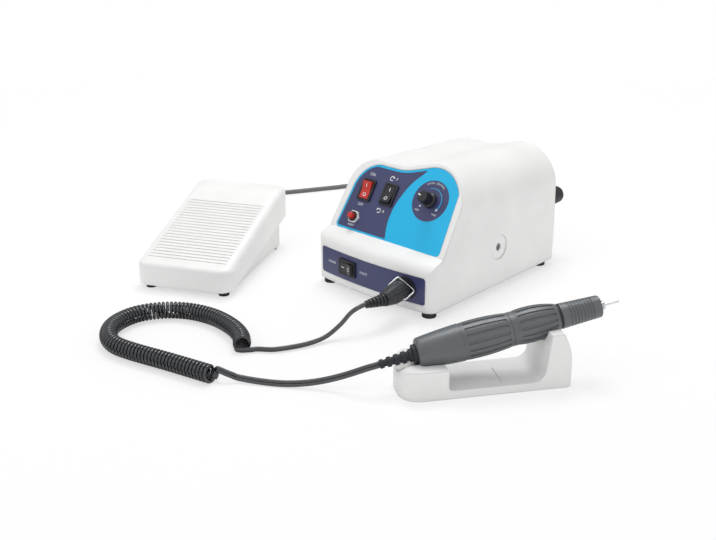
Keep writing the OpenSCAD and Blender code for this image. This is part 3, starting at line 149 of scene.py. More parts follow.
# Bare metal: fine drawn lines along one axis
def drawnMaterial(name, color, rough=0.25, along=(0.02, 0.02, 1.0), edge=0.0):
    s = Shader(name)
    stretch = s.node("ShaderNodeMapping", {"Vector": s.coords, "Scale": along}).outputs["Vector"]
    lines = s.noise(2600.0, 3.0, coords=stretch)
    tint = s.mix(s.span(s.noise(90.0, 3.0), 0.0, 1.0), shade(color, 0.9), color)
    s.set(Base_Color=tint, Metallic=1.0, Roughness=s.span(lines, rough - 0.06, rough + 0.1))
    bump = s.node("ShaderNodeBump", {"Height": lines, "Strength": 0.05, "Distance": 0.0002})
    if edge:
        bevel = s.node("ShaderNodeBevel", {"Radius": edge}, samples=4)
        s.put(bump.inputs["Normal"], bevel.outputs["Normal"])
    s.set(Normal=bump.outputs["Normal"])
    return s.material


# Plug rubber with ridges along its length, turned about the socket's axis; its colour is painted shade in the
# troughs and painted highlight on the crests
def plugMaterial(name, color, middle, across, count):
    s = Shader(name)
    away = s.node("ShaderNodeVectorMath", {0: s.coords, 1: middle}, operation="SUBTRACT").outputs["Vector"]
    side = s.node("ShaderNodeVectorMath", {0: away, 1: across}, operation="DOT_PRODUCT").outputs["Value"]
    high = s.node("ShaderNodeSeparateXYZ", {"Vector": away}).outputs["Z"]
    wave = s.math("COSINE", s.math("MULTIPLY", s.math("ARCTAN2", high, side), count))
    ridgeAndPaintedShade = s.span(wave, 0.0, 1.0, -0.4, 0.5)
    grain = s.noise(1400.0, 2.0)
    # Painted shade and painted highlight: base colour darker in the ridge troughs, lighter on the ridge crests
    s.set(Base_Color=s.mix(ridgeAndPaintedShade, shade(color, 0.6), shade(color, 1.15)))
    s.set(Roughness=s.span(s.noise(70.0), 0.32, 0.42))
    fine = s.node("ShaderNodeBump", {"Height": grain, "Strength": 0.06, "Distance": 0.0004})
    bump = s.node("ShaderNodeBump", {"Height": ridgeAndPaintedShade, "Strength": 0.6, "Distance": 0.0006,
                                     "Normal": fine.outputs["Normal"]})
    s.set(Normal=bump.outputs["Normal"])
    return s.material


# The motor socket's middle and its two level directions, for the plug and its bail
socketPlan = {"middle": (0.0487, -0.03882, 0.0255), "across": (0.99553, 0.09449, 0.0),
              "out": (0.09449, -0.99553, 0.0), "ridges": 22.0}
paints = {
    "shell": mouldedMaterial("shellWhite", rgb(243, 243, 242), 0.38, edge=0.0022),
    "treadle": mouldedMaterial("treadleWhite", rgb(243, 243, 242), 0.42, edge=0.0009),
    "tray": mouldedMaterial("trayWhite", rgb(236, 236, 235), 0.45, edge=0.0012),
    "cradle": mouldedMaterial("cradleWhite", rgb(238, 238, 237), 0.4, edge=0.0018),
    "baseMetal": mouldedMaterial("baseGrey", rgb(205, 205, 203), 0.5),
    "cyan": mouldedMaterial("filmCyan", rgb(0, 186, 238), 0.35, depth=0.015, mottle=0.02),
    "navy": mouldedMaterial("filmNavy", rgb(62, 66, 108), 0.35, depth=0.015, mottle=0.02),
    "print": mouldedMaterial("filmWhite", rgb(232, 236, 240), 0.45, depth=0.01, mottle=0.02),
    "black": mouldedMaterial("blackPlastic", rgb(34, 35, 38), 0.42, 700.0, 0.05, 0.1, edge=0.0005),
    "red": mouldedMaterial("redPlastic", rgb(206, 52, 42), 0.3, 700.0, 0.02, 0.06, edge=0.0005),
    "rubber": mouldedMaterial("blackRubber", rgb(37, 40, 46), 0.58, 1400.0, 0.08, 0.12, edge=0.0004),
    "plug": plugMaterial("plugRubber", rgb(40, 42, 46), socketPlan["middle"], socketPlan["across"],
                         socketPlan["ridges"]),
    "cord": mouldedMaterial("cordRubber", rgb(60, 62, 66), 0.3, 1600.0, 0.04, 0.1, gloss=0.9),
    "curl": mouldedMaterial("curlRubber", rgb(19, 24, 31), 0.17, 1600.0, 0.03, 0.1, gloss=1.0),
    "footCord": mouldedMaterial("footCordGrey", rgb(107, 108, 110), 0.5, 1600.0, 0.05, 0.08),
    "handpiece": mouldedMaterial("handpieceGrey", rgb(92, 96, 99), 0.42, 1800.0, 0.05, 0.06, edge=0.0005,
                                 metal=0.3, gloss=1.0),
    "steel": drawnMaterial("drawnSteel", rgb(196, 198, 202)),
    "chrome": drawnMaterial("brightChrome", rgb(222, 223, 226), 0.14, edge=0.0003),
    "aluminium": drawnMaterial("bareAluminium", rgb(178, 181, 186), 0.32, edge=0.0004),
    "seam": mouldedMaterial("seamGrey", rgb(120, 120, 120), 0.6),
    "nickel": mouldedMaterial("whiteNickel", rgb(240, 240, 238), 0.3, 900.0, 0.04, 0.05, edge=0.0004,
                              metal=0.2),
    "screw": drawnMaterial("darkScrew", rgb(120, 120, 122), 0.38, edge=0.0003),
    "copper": drawnMaterial("copperWire", rgb(190, 118, 62), 0.35),
    "iron": mouldedMaterial("ironSheet", rgb(92, 95, 101), 0.5, 300.0, 0.1, 0.1, metal=0.7),
    "board": mouldedMaterial("solderMask", rgb(34, 104, 62), 0.4, 500.0, 0.08, 0.15),
    "brown": mouldedMaterial("phenolicBrown", rgb(78, 60, 50), 0.5, 600.0, 0.06, 0.12),
}
wears = {
    "shell": ["housing"], "treadle": ["treadle"], "tray": ["pedal_base"], "cradle": ["cradle"],
    "baseMetal": ["base_plate", "speed_control"], "cyan": ["upper_panel"], "navy": ["lower_panel"],
    "red": ["power_rocker", "reset_button", "switch_plunger"],
    "rubber": ["box_feet", "pedal_feet", "cord_relief", "dust_ring", "pedal_gland", "foot_plug"],
    "plug": ["motor_plug"], "steel": ["speed_shaft", "treadle_pin", "pedal_spring", "nose_tube",
                                      "bearings", "spindle"],
    "chrome": ["plug_bail", "collet", "tool_shank"], "nickel": ["reset_nut"], "screw": ["housing_screws"],
    "aluminium": ["heat_sink", "foot_jack"], "copper": ["transformer_coil", "armature", "commutator"],
    "iron": ["transformer_core", "field_magnet"], "board": ["control_board"], "brown": ["brush_holder"],
    "handpiece": ["rear_cap", "motor_housing", "front_grip", "chuck_sleeve"],
    "cord": ["motor_cord", "hand_cord"], "curl": ["curly_cord"], "footCord": ["foot_cord", "foot_coil"],
}
worn = {name: key for key, names in wears.items() for name in names}
for name, obj in nodes.items():
    obj.data.materials.clear()
    obj.data.materials.append(paints[worn.get(name, "black")])
print("materials set")

# Cords: smooth routes through points in millimetres, swept by one node tree
shift = Vector((4.7, -5.8, 0.0))


def smoothRoute(points, step=1.0):
    p = np.array(points, float)
    p = np.vstack([2 * p[0] - p[1], p, 2 * p[-1] - p[-2]])
    out = []
    for i in range(1, len(p) - 2):
        count = max(2, int(np.linalg.norm(p[i + 1] - p[i]) / step))
        t = (np.arange(count) / count)[:, None]
        a, b, c, d = p[i - 1], p[i], p[i + 1], p[i + 2]
        out.append(b + 0.5 * t * (c - a + t * (2 * a - 5 * b + 4 * c - d + t * (3 * (b - c) + d - a))))
    return np.vstack(out + [p[-2][None]])


def evenRoute(points, count):
    run = np.concatenate([[0], np.cumsum(np.linalg.norm(np.diff(points, axis=0), axis=1))])
    marks = np.linspace(0, run[-1], count)
    return np.stack([np.interp(marks, run, points[:, k]) for k in range(3)], 1)


def sweepTree():
    tree = bpy.data.node_groups.new("sweepAlongPath", "GeometryNodeTree")
    face = tree.interface
    face.new_socket("Geometry", in_out="INPUT", socket_type="NodeSocketGeometry")
    face.new_socket("Radius", in_out="INPUT", socket_type="NodeSocketFloat")
    face.new_socket("Spread", in_out="INPUT", socket_type="NodeSocketVector")
    face.new_socket("Sides", in_out="INPUT", socket_type="NodeSocketInt")
    face.new_socket("Material", in_out="INPUT", socket_type="NodeSocketMaterial")
    face.new_socket("Geometry", in_out="OUTPUT", socket_type="NodeSocketGeometry")
    make = tree.nodes.new
    link = tree.links.new
    given = make("NodeGroupInput")
    upright = make("GeometryNodeSetCurveNormal")
    upright.mode = "Z_UP"
    link(given.outputs["Geometry"], upright.inputs["Curve"])
    circle = make("GeometryNodeCurvePrimitiveCircle")
    link(given.outputs["Sides"], circle.inputs["Resolution"])
    link(given.outputs["Radius"], circle.inputs["Radius"])
    join = make("GeometryNodeJoinGeometry")
    for side in (1, -1):
        scaled = make("ShaderNodeVectorMath")
        scaled.operation = "SCALE"
        link(given.outputs["Spread"], scaled.inputs[0])
        scaled.inputs["Scale"].default_value = side
        move = make("GeometryNodeTransform")
        link(circle.outputs["Curve"], move.inputs["Geometry"])
        link(scaled.outputs["Vector"], move.inputs["Translation"])
        link(move.outputs["Geometry"], join.inputs["Geometry"])
    apart = make("ShaderNodeVectorMath")
    apart.operation = "LENGTH"
    link(given.outputs["Spread"], apart.inputs[0])
    single = make("FunctionNodeCompare")
    single.operation = "GREATER_THAN"
    link(apart.outputs["Value"], single.inputs[0])
    single.inputs[1].default_value = 1e-6
    choose = make("GeometryNodeSwitch")
    choose.input_type = "GEOMETRY"
    link(single.outputs[0], choose.inputs["Switch"])
    link(circle.outputs["Curve"], choose.inputs["False"])
    link(join.outputs["Geometry"], choose.inputs["True"])
    sweep = make("GeometryNodeCurveToMesh")
    link(upright.outputs["Curve"], sweep.inputs["Curve"])
    link(choose.outputs["Output"], sweep.inputs["Profile Curve"])
    sweep.inputs["Fill Caps"].default_value = True
    smooth = make("GeometryNodeSetShadeSmooth")
    link(sweep.outputs["Mesh"], smooth.inputs["Geometry"])
    real = make("GeometryNodeRealizeInstances")
    link(smooth.outputs["Geometry"], real.inputs["Geometry"])
    paint = make("GeometryNodeSetMaterial")
    link(real.outputs["Geometry"], paint.inputs["Geometry"])
    link(given.outputs["Material"], paint.inputs["Material"])
    out = make("NodeGroupOutput")
    link(paint.outputs["Geometry"], out.inputs["Geometry"])
    return tree


sweepNodes = sweepTree()


def treeMesh(obj, tree, values, name):
    modifier = obj.modifiers.new("build", "NODES")
    modifier.node_group = tree
    for item in tree.interface.items_tree:
        if item.in_out == "INPUT" and item.name in values:
            modifier[item.identifier] = values[item.name]
    bpy.context.view_layer.update()
    mesh = bpy.data.meshes.new_from_object(obj.evaluated_get(bpy.context.evaluated_depsgraph_get()))
    mesh.name = name
    obj.modifiers.remove(modifier)
    return mesh


def sweptPiece(name, points, radius, sides, material, spread=(0.0, 0.0, 0.0)):
    line = bpy.data.curves.new(name + "Line", "CURVE")
    line.dimensions = "3D"
    spline = line.splines.new("POLY")
    spline.points.add(len(points) - 1)
    spline.points.foreach_set("co", np.hstack([points, np.ones((len(points), 1))]).ravel())
    guide = bpy.data.objects.new(name + "Line", line)
    scene.collection.objects.link(guide)
    values = {"Radius": radius, "Spread": spread, "Sides": sides, "Material": material}
    mesh = treeMesh(guide, sweepNodes, values, name)
    bpy.data.objects.remove(guide)
    bpy.data.curves.remove(line)
    piece = bpy.data.objects.new(name, mesh)
    scene.collection.objects.link(piece)
    return piece


def joined(name, pieces):
    bm = bmesh.new()
    mesh = bpy.data.meshes.new(name)
    for i, p in enumerate(pieces):
        before = len(bm.faces)
        bm.from_mesh(p.data)
        bm.faces.ensure_lookup_table()
        for f in bm.faces[before:]:
            f.material_index = i
        mesh.materials.append(p.data.materials[0])
    bm.to_mesh(mesh)
    bm.free()
    for p in pieces:
        bpy.data.objects.remove(p)
    piece = bpy.data.objects.new(name, mesh)
    scene.collection.objects.link(piece)
    return piece


def inMetres(points):
    return (np.array(points, float) + np.array(shift)) / 1000.0


# Wire bail with rounded bends, in the socket's own frame
bailPlan = {"half": 10.0, "pin": 6.4, "out": 14.0, "lift": 5.6, "near": 2.5, "turn": -27.0, "bend": 2.6,
            "gauge": 0.8}


def bailSpot(x, y, z):
    c, w = math.cos(math.radians(bailPlan["turn"])), math.sin(math.radians(bailPlan["turn"]))
    across, out, up = np.array(socketPlan["across"]), np.array(socketPlan["out"]), np.array((0, 0, 1))
    return np.array(socketPlan["middle"]) + ((x * c - y * w) * across + (x * w + y * c) * up + z * out) / 1000


def bentLine(points, bend):
    out = [points[0]]
    for a, b, c in zip(points, points[1:], points[2:]):
        d = min(bend / 1000, 0.45 * np.linalg.norm(a - b), 0.45 * np.linalg.norm(c - b))
        p, q = b + (a - b) / np.linalg.norm(a - b) * d, b + (c - b) / np.linalg.norm(c - b) * d
        out += [(1 - k) ** 2 * p + 2 * k * (1 - k) * b + k * k * q for k in np.linspace(0, 1, 9)]
    return np.array(out + [points[-1]])


halfW, near = bailPlan["half"], (bailPlan["lift"], bailPlan["near"])
bailLine = bentLine([bailSpot(*p) for p in (
    (-bailPlan["pin"], 0, bailPlan["out"]), (-halfW, 0, bailPlan["out"]), (-halfW, *near), (halfW, *near),
    (halfW, 0, bailPlan["out"]), (bailPlan["pin"], 0, bailPlan["out"]))], bailPlan["bend"])
bailWire = sweptPiece("bailWire", bailLine, bailPlan["gauge"] / 1000, 16, paints["chrome"])
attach(bailWire, "plug_bail")
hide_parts("plug_bail")

# Treadle: the solid's own mesh, its cross grooves made shallow; heights count from the sloping design plane
treadPlan = {"place": (-130.3, -143.8, 24.0), "yaw": 26.0, "slope": 40.5 / 157, "half": 39.5, "groove": -0.8,
             "near": 0.02, "floor": 1.4}


def treadleSkin():
    plan, cad = treadPlan, nodes["treadle"]
    toWorld = (Matrix.Translation(Vector(plan["place"]) / 1000)
               @ Matrix.Rotation(math.radians(plan["yaw"]), 4, "Z")
               @ Matrix.Rotation(math.atan(plan["slope"]), 4, "X"))
    toTop = toWorld.inverted()
    bm = bmesh.new()
    bm.from_mesh(cad.data)
    bm.transform(cad.matrix_world)
    for v in bm.verts:
        spot = toTop @ v.co * 1000
        if abs(spot.z - plan["groove"]) < plan["near"] and abs(spot.x) < plan["half"]:
            spot.z = plan["floor"]
            v.co = toWorld @ (spot / 1000)
    mesh = bpy.data.meshes.new("treadleSkin")
    bm.to_mesh(mesh)
    bm.free()
    mesh.materials.append(paints["treadle"])
    piece = bpy.data.objects.new("treadleSkin", mesh)
    scene.collection.objects.link(piece)
    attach(piece, "treadle")
    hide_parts("treadle")


treadleSkin()

# Return spring with a closed first and last turn
springPlan = {"foot": (-174.137, -53.921), "seat": 6.8, "low": 7.5, "high": 43.9, "radius": 6.5, "wire": 1.4,
              "turns": 9, "steps": 24, "close": 1.04, "keep": 0.86}
footX, footY = springPlan["foot"]
turnMarks = np.linspace(0, springPlan["turns"], springPlan["turns"] * springPlan["steps"] + 1)
packed = springPlan["wire"] * springPlan["close"]
rise = np.interp(turnMarks, [0, 1, springPlan["turns"] - 1, springPlan["turns"]],
                 [springPlan["low"], springPlan["low"] + packed,
                  springPlan["high"] - packed, springPlan["high"]])
springLine = np.stack([footX + springPlan["radius"] * np.cos(2 * math.pi * turnMarks),
                       footY + springPlan["radius"] * np.sin(2 * math.pi * turnMarks), rise], 1) / 1000
springCoil = sweptPiece("springCoil", springLine, springPlan["wire"] / 2000, 10, paints["steel"])
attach(springCoil, "unit")
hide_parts("pedal_spring")
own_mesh(springCoil)
print("pedal set")

# Motor cord: twin stretch from the plug, curls about an axis line, end turned up to the hand stretch
curlPlan = {"radius": 6.2, "level": 7.7, "count": 88, "steps": 20, "gauge": 1.42, "calm": 12,
            "leadIn": (9.0, 6.0, 3.0, 1.5), "tailSteps": 14, "tailLift": 3.5, "tailBack": 6.5}
axisPoints = [(-4.4, -181.4), (-15.5, -172.6), (-34, -165.1), (-60.6, -162.2), (-86.4, -168.3),
              (-105.6, -182.8), (-115.8, -204), (-113.5, -226.5), (-101.5, -243), (-83.4, -251.6),
              (-62.3, -250.4), (-22.2, -241.1), (17.7, -232.6)]
axis = evenRoute(smoothRoute([(x, y, curlPlan["level"]) for x, y in axisPoints], 0.5),
                 curlPlan["count"] * curlPlan["steps"] + 1)
heading = np.gradient(axis, axis=0)
for i in range(curlPlan["calm"]):
    heading[1:-1] = (heading[:-2] + heading[1:-1] * 2 + heading[2:]) / 4
heading /= np.linalg.norm(heading, axis=1)[:, None]
down = np.array([0.0, 0.0, -1.0])
across = np.cross(heading, down)
turn = np.linspace(0, 2 * math.pi * curlPlan["count"] + math.pi / 2, len(axis))[:, None]
curls = axis + curlPlan["radius"] * (np.cos(turn) * down + np.sin(turn) * across)
leadIn = [curls[0] - across[0] * d for d in curlPlan["leadIn"]]
tailTo = np.array((25.5, -222.3, 7.0))
tailWay = np.array((33.0, -216.8, 3.6)) - tailTo
tailWay /= np.linalg.norm(tailWay)
t = np.linspace(0, 1, curlPlan["tailSteps"])[1:, None]
tail = ((1 - t) ** 3 * curls[-1] + 3 * t * (1 - t) ** 2 * (curls[-1] - curlPlan["tailLift"] * down)
        + 3 * t * t * (1 - t) * (tailTo - curlPlan["tailBack"] * tailWay) + t ** 3 * tailTo)
curlLine = np.vstack([leadIn, curls, tail])

plugEnd, plugWay = np.array((42.3175, -82.645, 24.9067)), np.array((-0.2852, -0.9578, -0.0349))
handEnd, handWay = np.array((122.4692, -155.3195, 23.5248)), np.array((-0.5674, -0.7954, -0.213))
motorLine = smoothRoute([plugEnd, plugEnd + 4 * plugWay, (38.2, -96.6, 21), (35, -107, 12),
                         (31.2, -121.2, 4.6), (26, -139.5, 2.7), (15.5, -161, 2.6),
                         leadIn[0] - across[0] * 4, leadIn[0]])
handLine = smoothRoute([tailTo, tailTo + 3 * tailWay, (33, -216.8, 3.9), (50.7, -206.6, 2.7),
                        (66.5, -196.4, 3.0), (82, -185, 5.6), (98, -173.5, 11.4), handEnd + 10 * handWay,
                        handEnd + 4 * handWay, handEnd])
cordPlan = {"lobe": 1.4, "spread": (0.00062, 0.00108, 0.0), "low": 2.5, "hand": 3.6, "foot": 5.0}
for line in (motorLine, handLine):
    line[:, 2] = np.maximum(line[:, 2], cordPlan["low"])
startLine = np.vstack([motorLine, curlLine[1:8]])
endLine = np.vstack([curls[-4:], tail])
for line in (startLine, endLine):
    line[:, 2] = np.maximum(line[:, 2], cordPlan["low"])
straight = sweptPiece("motorStraight", inMetres(startLine), cordPlan["lobe"] / 1000, 14, paints["cord"],
                      cordPlan["spread"])
curly = sweptPiece("motorCurls", inMetres(curlLine), curlPlan["gauge"] / 1000, 12, paints["curl"])
ending = sweptPiece("motorEnding", inMetres(endLine), cordPlan["lobe"] / 1000, 14, paints["cord"],
                    cordPlan["spread"])
motorCord = joined("motorCord", [straight, curly, ending])
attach(motorCord, "unit")
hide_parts("motor_cord", "curly_cord")

# Hand stretch, bending between the table and the handpiece
handPath = inMetres(handLine)
handCord = sweptPiece("handCord", handPath, cordPlan["lobe"] / 1000, 14, paints["cord"], cordPlan["spread"])
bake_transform(handCord)
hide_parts("hand_cord")

# Foot cord: from the pedal round behind the box, a flat coil in two layers, then up to the jack
coilPlan = {"middle": (-20.0, 208.0), "outer": 34.0, "pitch": 5.6, "inward": 2.5, "turns": 5.0, "rise": 5.5}
n = np.linspace(0, coilPlan["turns"], 241)
inner = coilPlan["outer"] - coilPlan["pitch"] * coilPlan["inward"]
radius = np.where(n < coilPlan["inward"], coilPlan["outer"] - coilPlan["pitch"] * n,
                  np.where(n < coilPlan["inward"] + 0.5,
                           inner - coilPlan["pitch"] * (0.25 - np.abs(n - coilPlan["inward"] - 0.25)),
                           inner + coilPlan["pitch"] * (n - coilPlan["inward"] - 0.5)))
angle = np.radians(90 - 360 * n)
coil = np.stack([coilPlan["middle"][0] + radius * np.cos(angle),
                 coilPlan["middle"][1] + radius * np.sin(angle),
                 cordPlan["low"] + coilPlan["rise"] * np.clip(2 * (n - coilPlan["inward"]), 0, 1)], 1)
glandEnd, glandWay = np.array((-204.263, 4.009, 13.0)), np.array((-0.4384, 0.8988, 0.0))
footStart = smoothRoute([glandEnd, glandEnd + 6 * glandWay, (-213, 24, 8), (-224, 47, 3), (-243, 84, 2.5),
                         (-262, 99, 2.5), (-276.5, 113, 2.5), (-280, 123, 2.5), (-275.6, 131.3, 2.5),
                         (-261.5, 156.6, 2.5), (-246.8, 183.7, 2.5), (-239, 197.2, 2.5),
                         (-210, 222, 2.5), (-168, 237, 2.5), (-118, 243, 2.5), (-66, 242, 2.5),
                         coil[0] - (12, 0, 0), coil[0]], 3.0)
jackEnd = np.array((29.1, 179.0, 60.0))
footRise = smoothRoute([coil[-1], coil[-1] + (6, 0, 0), (4, 238, 9), (16, 230, 16), (19, 214, 30),
                        (10, 197, 46), (5, 184, 56), jackEnd - (13, 0, 0.6), jackEnd - (5, 0, 0), jackEnd], 2.0)
footPath = inMetres(np.vstack([footStart, coil[1:], footRise[1:]]))
footCord = sweptPiece("footCord", footPath, cordPlan["foot"] / 2000, 16, paints["footCord"])
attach(footCord, "unit")
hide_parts("foot_cord", "foot_coil")

# Prints on the panels: flat shapes laid a hair above the film
boxAt = np.array((6.7, -36.8, 0.0))
slopePlan = {"tilt": math.radians(57), "fall": math.radians(2.4), "y": 17.4, "z": 53.0, "depth": 190.0}
bowPlan = {"half": 69.5, "corner": 10.0, "bow": 4.0}
bowPlan["r"] = ((bowPlan["half"] - bowPlan["corner"]) ** 2 + bowPlan["bow"] ** 2) / (2 * bowPlan["bow"])


def onSlope(x, s, lift=0.0):
    c, w = math.cos(slopePlan["tilt"]), math.sin(slopePlan["tilt"])
    return tuple((boxAt + (x, slopePlan["y"] + s * c - lift * w, slopePlan["z"] + s * w + lift * c)) / 1000)


def onBow(x, z, lift=0.0):
    r = bowPlan["r"]
    a = math.asin(x / r)
    y = r - bowPlan["bow"] - math.sqrt(r * r - x * x)
    return tuple((boxAt + (x + math.sin(a) * lift, y - math.cos(a) * lift, z)) / 1000)


def rockerFace(place, middle, tip, turned=False):
    def at(x, y, lift=0.0):
        z = 1.6 + abs(y) * math.tan(math.radians(10)) + lift
        c, w = math.cos(math.radians(tip)), math.sin(math.radians(tip))
        y, z = y * c - z * w, y * w + z * c + 0.3
        if turned:
            x, y = -y, x
        return place(middle[0] + x, middle[1] + y, z)
    return at


def arcPoints(middle, r, a0, a1, count=48):
    return [(middle[0] + r * math.cos(math.radians(a0 + (a1 - a0) * i / count)),
             middle[1] + r * math.sin(math.radians(a0 + (a1 - a0) * i / count))) for i in range(count + 1)]


def band(middle, r, a0, a1, w0, w1, count=40):
    rows = []
    for i in range(count + 1):
        k = i / count
        a, w = math.radians(a0 + (a1 - a0) * k), (w0 + (w1 - w0) * k) / 2
        rows.append([(middle[0] + d * math.cos(a), middle[1] + d * math.sin(a)) for d in (r - w, r + w)])
    return [[p[0], p[1], q[1], q[0]] for p, q in zip(rows, rows[1:])]


def wordFaces(words, size, at, turn=0.0):
    line = bpy.data.curves.new("wordLine", "FONT")
    line.body = words
    line.size = size
    line.align_x = "CENTER"
    line.align_y = "CENTER"
    line.resolution_u = 3
    held = bpy.data.objects.new("wordLine", line)
    scene.collection.objects.link(held)
    bpy.context.view_layer.update()
    mesh = bpy.data.meshes.new_from_object(held.evaluated_get(bpy.context.evaluated_depsgraph_get()))
    c, w = math.cos(math.radians(turn)), math.sin(math.radians(turn))
    spots = [(at[0] + v.co.x * c - v.co.y * w, at[1] + v.co.x * w + v.co.y * c) for v in mesh.vertices]
    faces = [tuple(p.vertices) for p in mesh.polygons]
    bpy.data.objects.remove(held)
    bpy.data.curves.remove(line)
    bpy.data.meshes.remove(mesh)
    return spots, faces


def printPiece(name, shapes, words, place, lift, material, body):
    bm = bmesh.new()
    for shape in shapes:
        bm.faces.new([bm.verts.new(place(x, y, lift)) for x, y in shape])
    bmesh.ops.triangulate(bm, faces=bm.faces[:])
    for spots, faces in words:
        made = [bm.verts.new(place(x, y, lift)) for x, y in spots]
        for f in faces:
            bm.faces.new([made[i] for i in f])
    mesh = bpy.data.meshes.new(name)
    bm.to_mesh(mesh)
    bm.free()
    mesh.materials.append(material)
    piece = bpy.data.objects.new(name, mesh)
    scene.collection.objects.link(piece)
    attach(piece, body)
    return piece


humpPlan = {"half": 69.5, "foot": 6.0, "draft": 2.5, "hump": 115.0, "humpRound": 38.0, "shoulder": 106.0,
            "shoulderRound": 24.0, "climbX": -8.0, "climbRound": 60.0}


# The top edge of the sloping face: the box outline, leaning back with the top, cut by the face
def humpEdge(inset):
    plan = humpPlan
    draft, half, foot = plan["draft"], plan["half"], plan["foot"]
    hump, hr, should, sr = plan["hump"], plan["humpRound"], plan["shoulder"], plan["shoulderRound"]
    climbX, climbR = plan["climbX"], plan["climbRound"]
    lean, cosine = math.tan(math.radians(draft)), math.cos(math.radians(draft))
    hc = (half - (hump - hr - foot) * lean - hr / cosine, hump - hr)
    sc = ((should - sr - foot) * lean + sr / cosine - half, should - sr)
    to = (hc[0] - climbX, hc[1] - should)
    climb = math.degrees(math.atan2(to[1], to[0])) + math.degrees(math.asin(hr / math.hypot(*to)))
    cc = (climbX - climbR * math.tan(math.radians(climb / 2)), should + climbR)
    edge = (arcPoints(hc, hr - inset, draft, 90 + climb, 40)
            + arcPoints(cc, climbR + inset, 270 + climb, 270, 10)
            + arcPoints(sc, sr - inset, 90, 180 - draft, 24))
    fall, tilt = slopePlan["fall"], slopePlan["tilt"]
    base = slopePlan["z"] * math.cos(fall) + (slopePlan["y"] - slopePlan["depth"]) * math.sin(fall)
    return [(x, (z - base) / math.sin(tilt + fall)) for x, z in edge]


facePlan = {"half": 61.3, "lean": 0.067, "top": 66.6, "round": 26.0, "rim": 3.5, "line": 1.7, "corner": 4.0}
swoopPoints = [(13.6, 67.7), (6.9, 59.8), (1.8, 50.9), (-1.9, 41.2), (-4.5, 31.8), (-5.1, 21.9), (-4.3, 13.3),
               (-1.9, 4.5), (-1.0, facePlan["line"])]


def navyOutline():
    line, corner = facePlan["line"], facePlan["corner"]
    xs, ss = zip(*humpEdge(facePlan["rim"] + line)[::-1])
    low = facePlan["top"] - facePlan["round"]
    middle = (facePlan["round"] + facePlan["lean"] * low - facePlan["half"], low)
    side = arcPoints(middle, facePlan["round"] - line, 176, 90, 24)
    left = [(x, min(s, float(np.interp(x, xs, ss)))) for x, s in side]
    over = [(x, float(np.interp(x, xs, ss))) for x in np.linspace(middle[0] + 1.5, 16.2, 32)]
    swoop = smoothRoute([(x, s, 0) for x, s in [over[-1]] + swoopPoints], 2.0)
    foot = arcPoints((corner - facePlan["half"], corner), corner - line, 270, 180, 6)
    return left + over + [(p[0], p[1]) for p in swoop[1:]] + foot


dialPlan = {"middle": (31.1, 46.0), "r": 19.2, "scale": 11.8, "words": 16.7, "pointer": 165.0}
dial = dialPlan["middle"]


def around(angle, r):
    return (dial[0] + r * math.cos(math.radians(angle)), dial[1] + r * math.sin(math.radians(angle)))


liftPlan = {"film": 0.04, "ink": 0.07, "mark": 0.05}
printPiece("panelNavy", [navyOutline(), arcPoints(dial, dialPlan["r"], 0, 355, 71)], [], onSlope,
           liftPlan["film"], paints["navy"], "unit")
printPiece("dialScale", band(dial, dialPlan["scale"], 116, -32, 0.35, 0.9), [], onSlope,
           liftPlan["ink"], paints["cyan"], "unit")
labels = [wordFaces("ON", 4.0, (-41.6, 55.6)), wordFaces("OFF", 3.8, (-42.6, 25.6)),
          wordFaces("RESET", 2.8, (-44.2, 4.9)), wordFaces("F", 4.0, (-12.6, 56.6)),
          wordFaces("R", 4.0, (-14.0, 24.8)), wordFaces("MIN", 2.5, around(226, 15.0)),
          wordFaces("MAX", 2.5, around(-51, 14.4))]
for i, letter in enumerate("SPEED CONTROL"):
    a = 124 - i * 5.8
    labels.append(wordFaces(letter, 2.4, around(a, dialPlan["words"]), a - 90))
marks = [arcPoints(around(217, 11.0), 0.8, 0, 345, 23),
         [around(-29, 10.4), around(-29, 13.2), around(-42, 11.8)]]
for middle, sense in (((-18.4, 56.6), 1), ((-19.6, 24.8), -1)):
    marks += band(middle, 2.0, 90 - sense * 40, 90 + sense * 220, 0.75, 0.75, 24)
    tip = math.radians(90 - sense * 40)
    side = (middle[0] + 2.0 * math.cos(tip), middle[1] + 2.0 * math.sin(tip))
    way = (math.sin(tip) * sense, -math.cos(tip) * sense)
    marks.append([(side[0] + 1.1 * math.cos(tip), side[1] + 1.1 * math.sin(tip)),
                  (side[0] + 2.3 * way[0], side[1] + 2.3 * way[1]),
                  (side[0] - 1.1 * math.cos(tip), side[1] - 1.1 * math.sin(tip))])
printPiece("panelLettering", marks, labels, onSlope, liftPlan["ink"], paints["print"], "unit")
lowLabels = [wordFaces("HAND", 3.4, (-47.5, 25.5)), wordFaces("FOOT", 3.4, (-6.5, 25.5))]
printPiece("lowerLettering", [], lowLabels, onBow, liftPlan["ink"], paints["print"], "unit")
barMark = [(-0.35, 2.6), (0.35, 2.6), (0.35, 6.0), (-0.35, 6.0)]
ringMark = band((0, -4.4), 1.5, 0, 360, 0.6, 0.6, 28)
for name, middle, tip, place, turned, body in (
        ("powerMarks", (-41.2, 40), 10, onSlope, False, "power_rocker"),
        ("directionMarks", (-14.8, 41), -10, onSlope, False, "direction_rocker"),
        ("modeMarks", (-26.5, 25.5), -10, onBow, True, "mode_rocker")):
    printPiece(name, [barMark] + ringMark, [], rockerFace(place, middle, tip, turned), liftPlan["mark"],
               paints["print"], body)

# Thin seam across the floor of the cradle
cradlePlan = {"place": (158.7, -154.8), "turn": 54.5, "floor": 7.0, "seam": 68.3, "from": 6.0, "to": 30.5}


def onCradle(u, v, lift=0.0):
    c, w = math.cos(math.radians(cradlePlan["turn"])), math.sin(math.radians(cradlePlan["turn"]))
    return ((cradlePlan["place"][0] + u * c - v * w) / 1000, (cradlePlan["place"][1] + u * w + v * c) / 1000,
            (cradlePlan["floor"] + lift) / 1000)


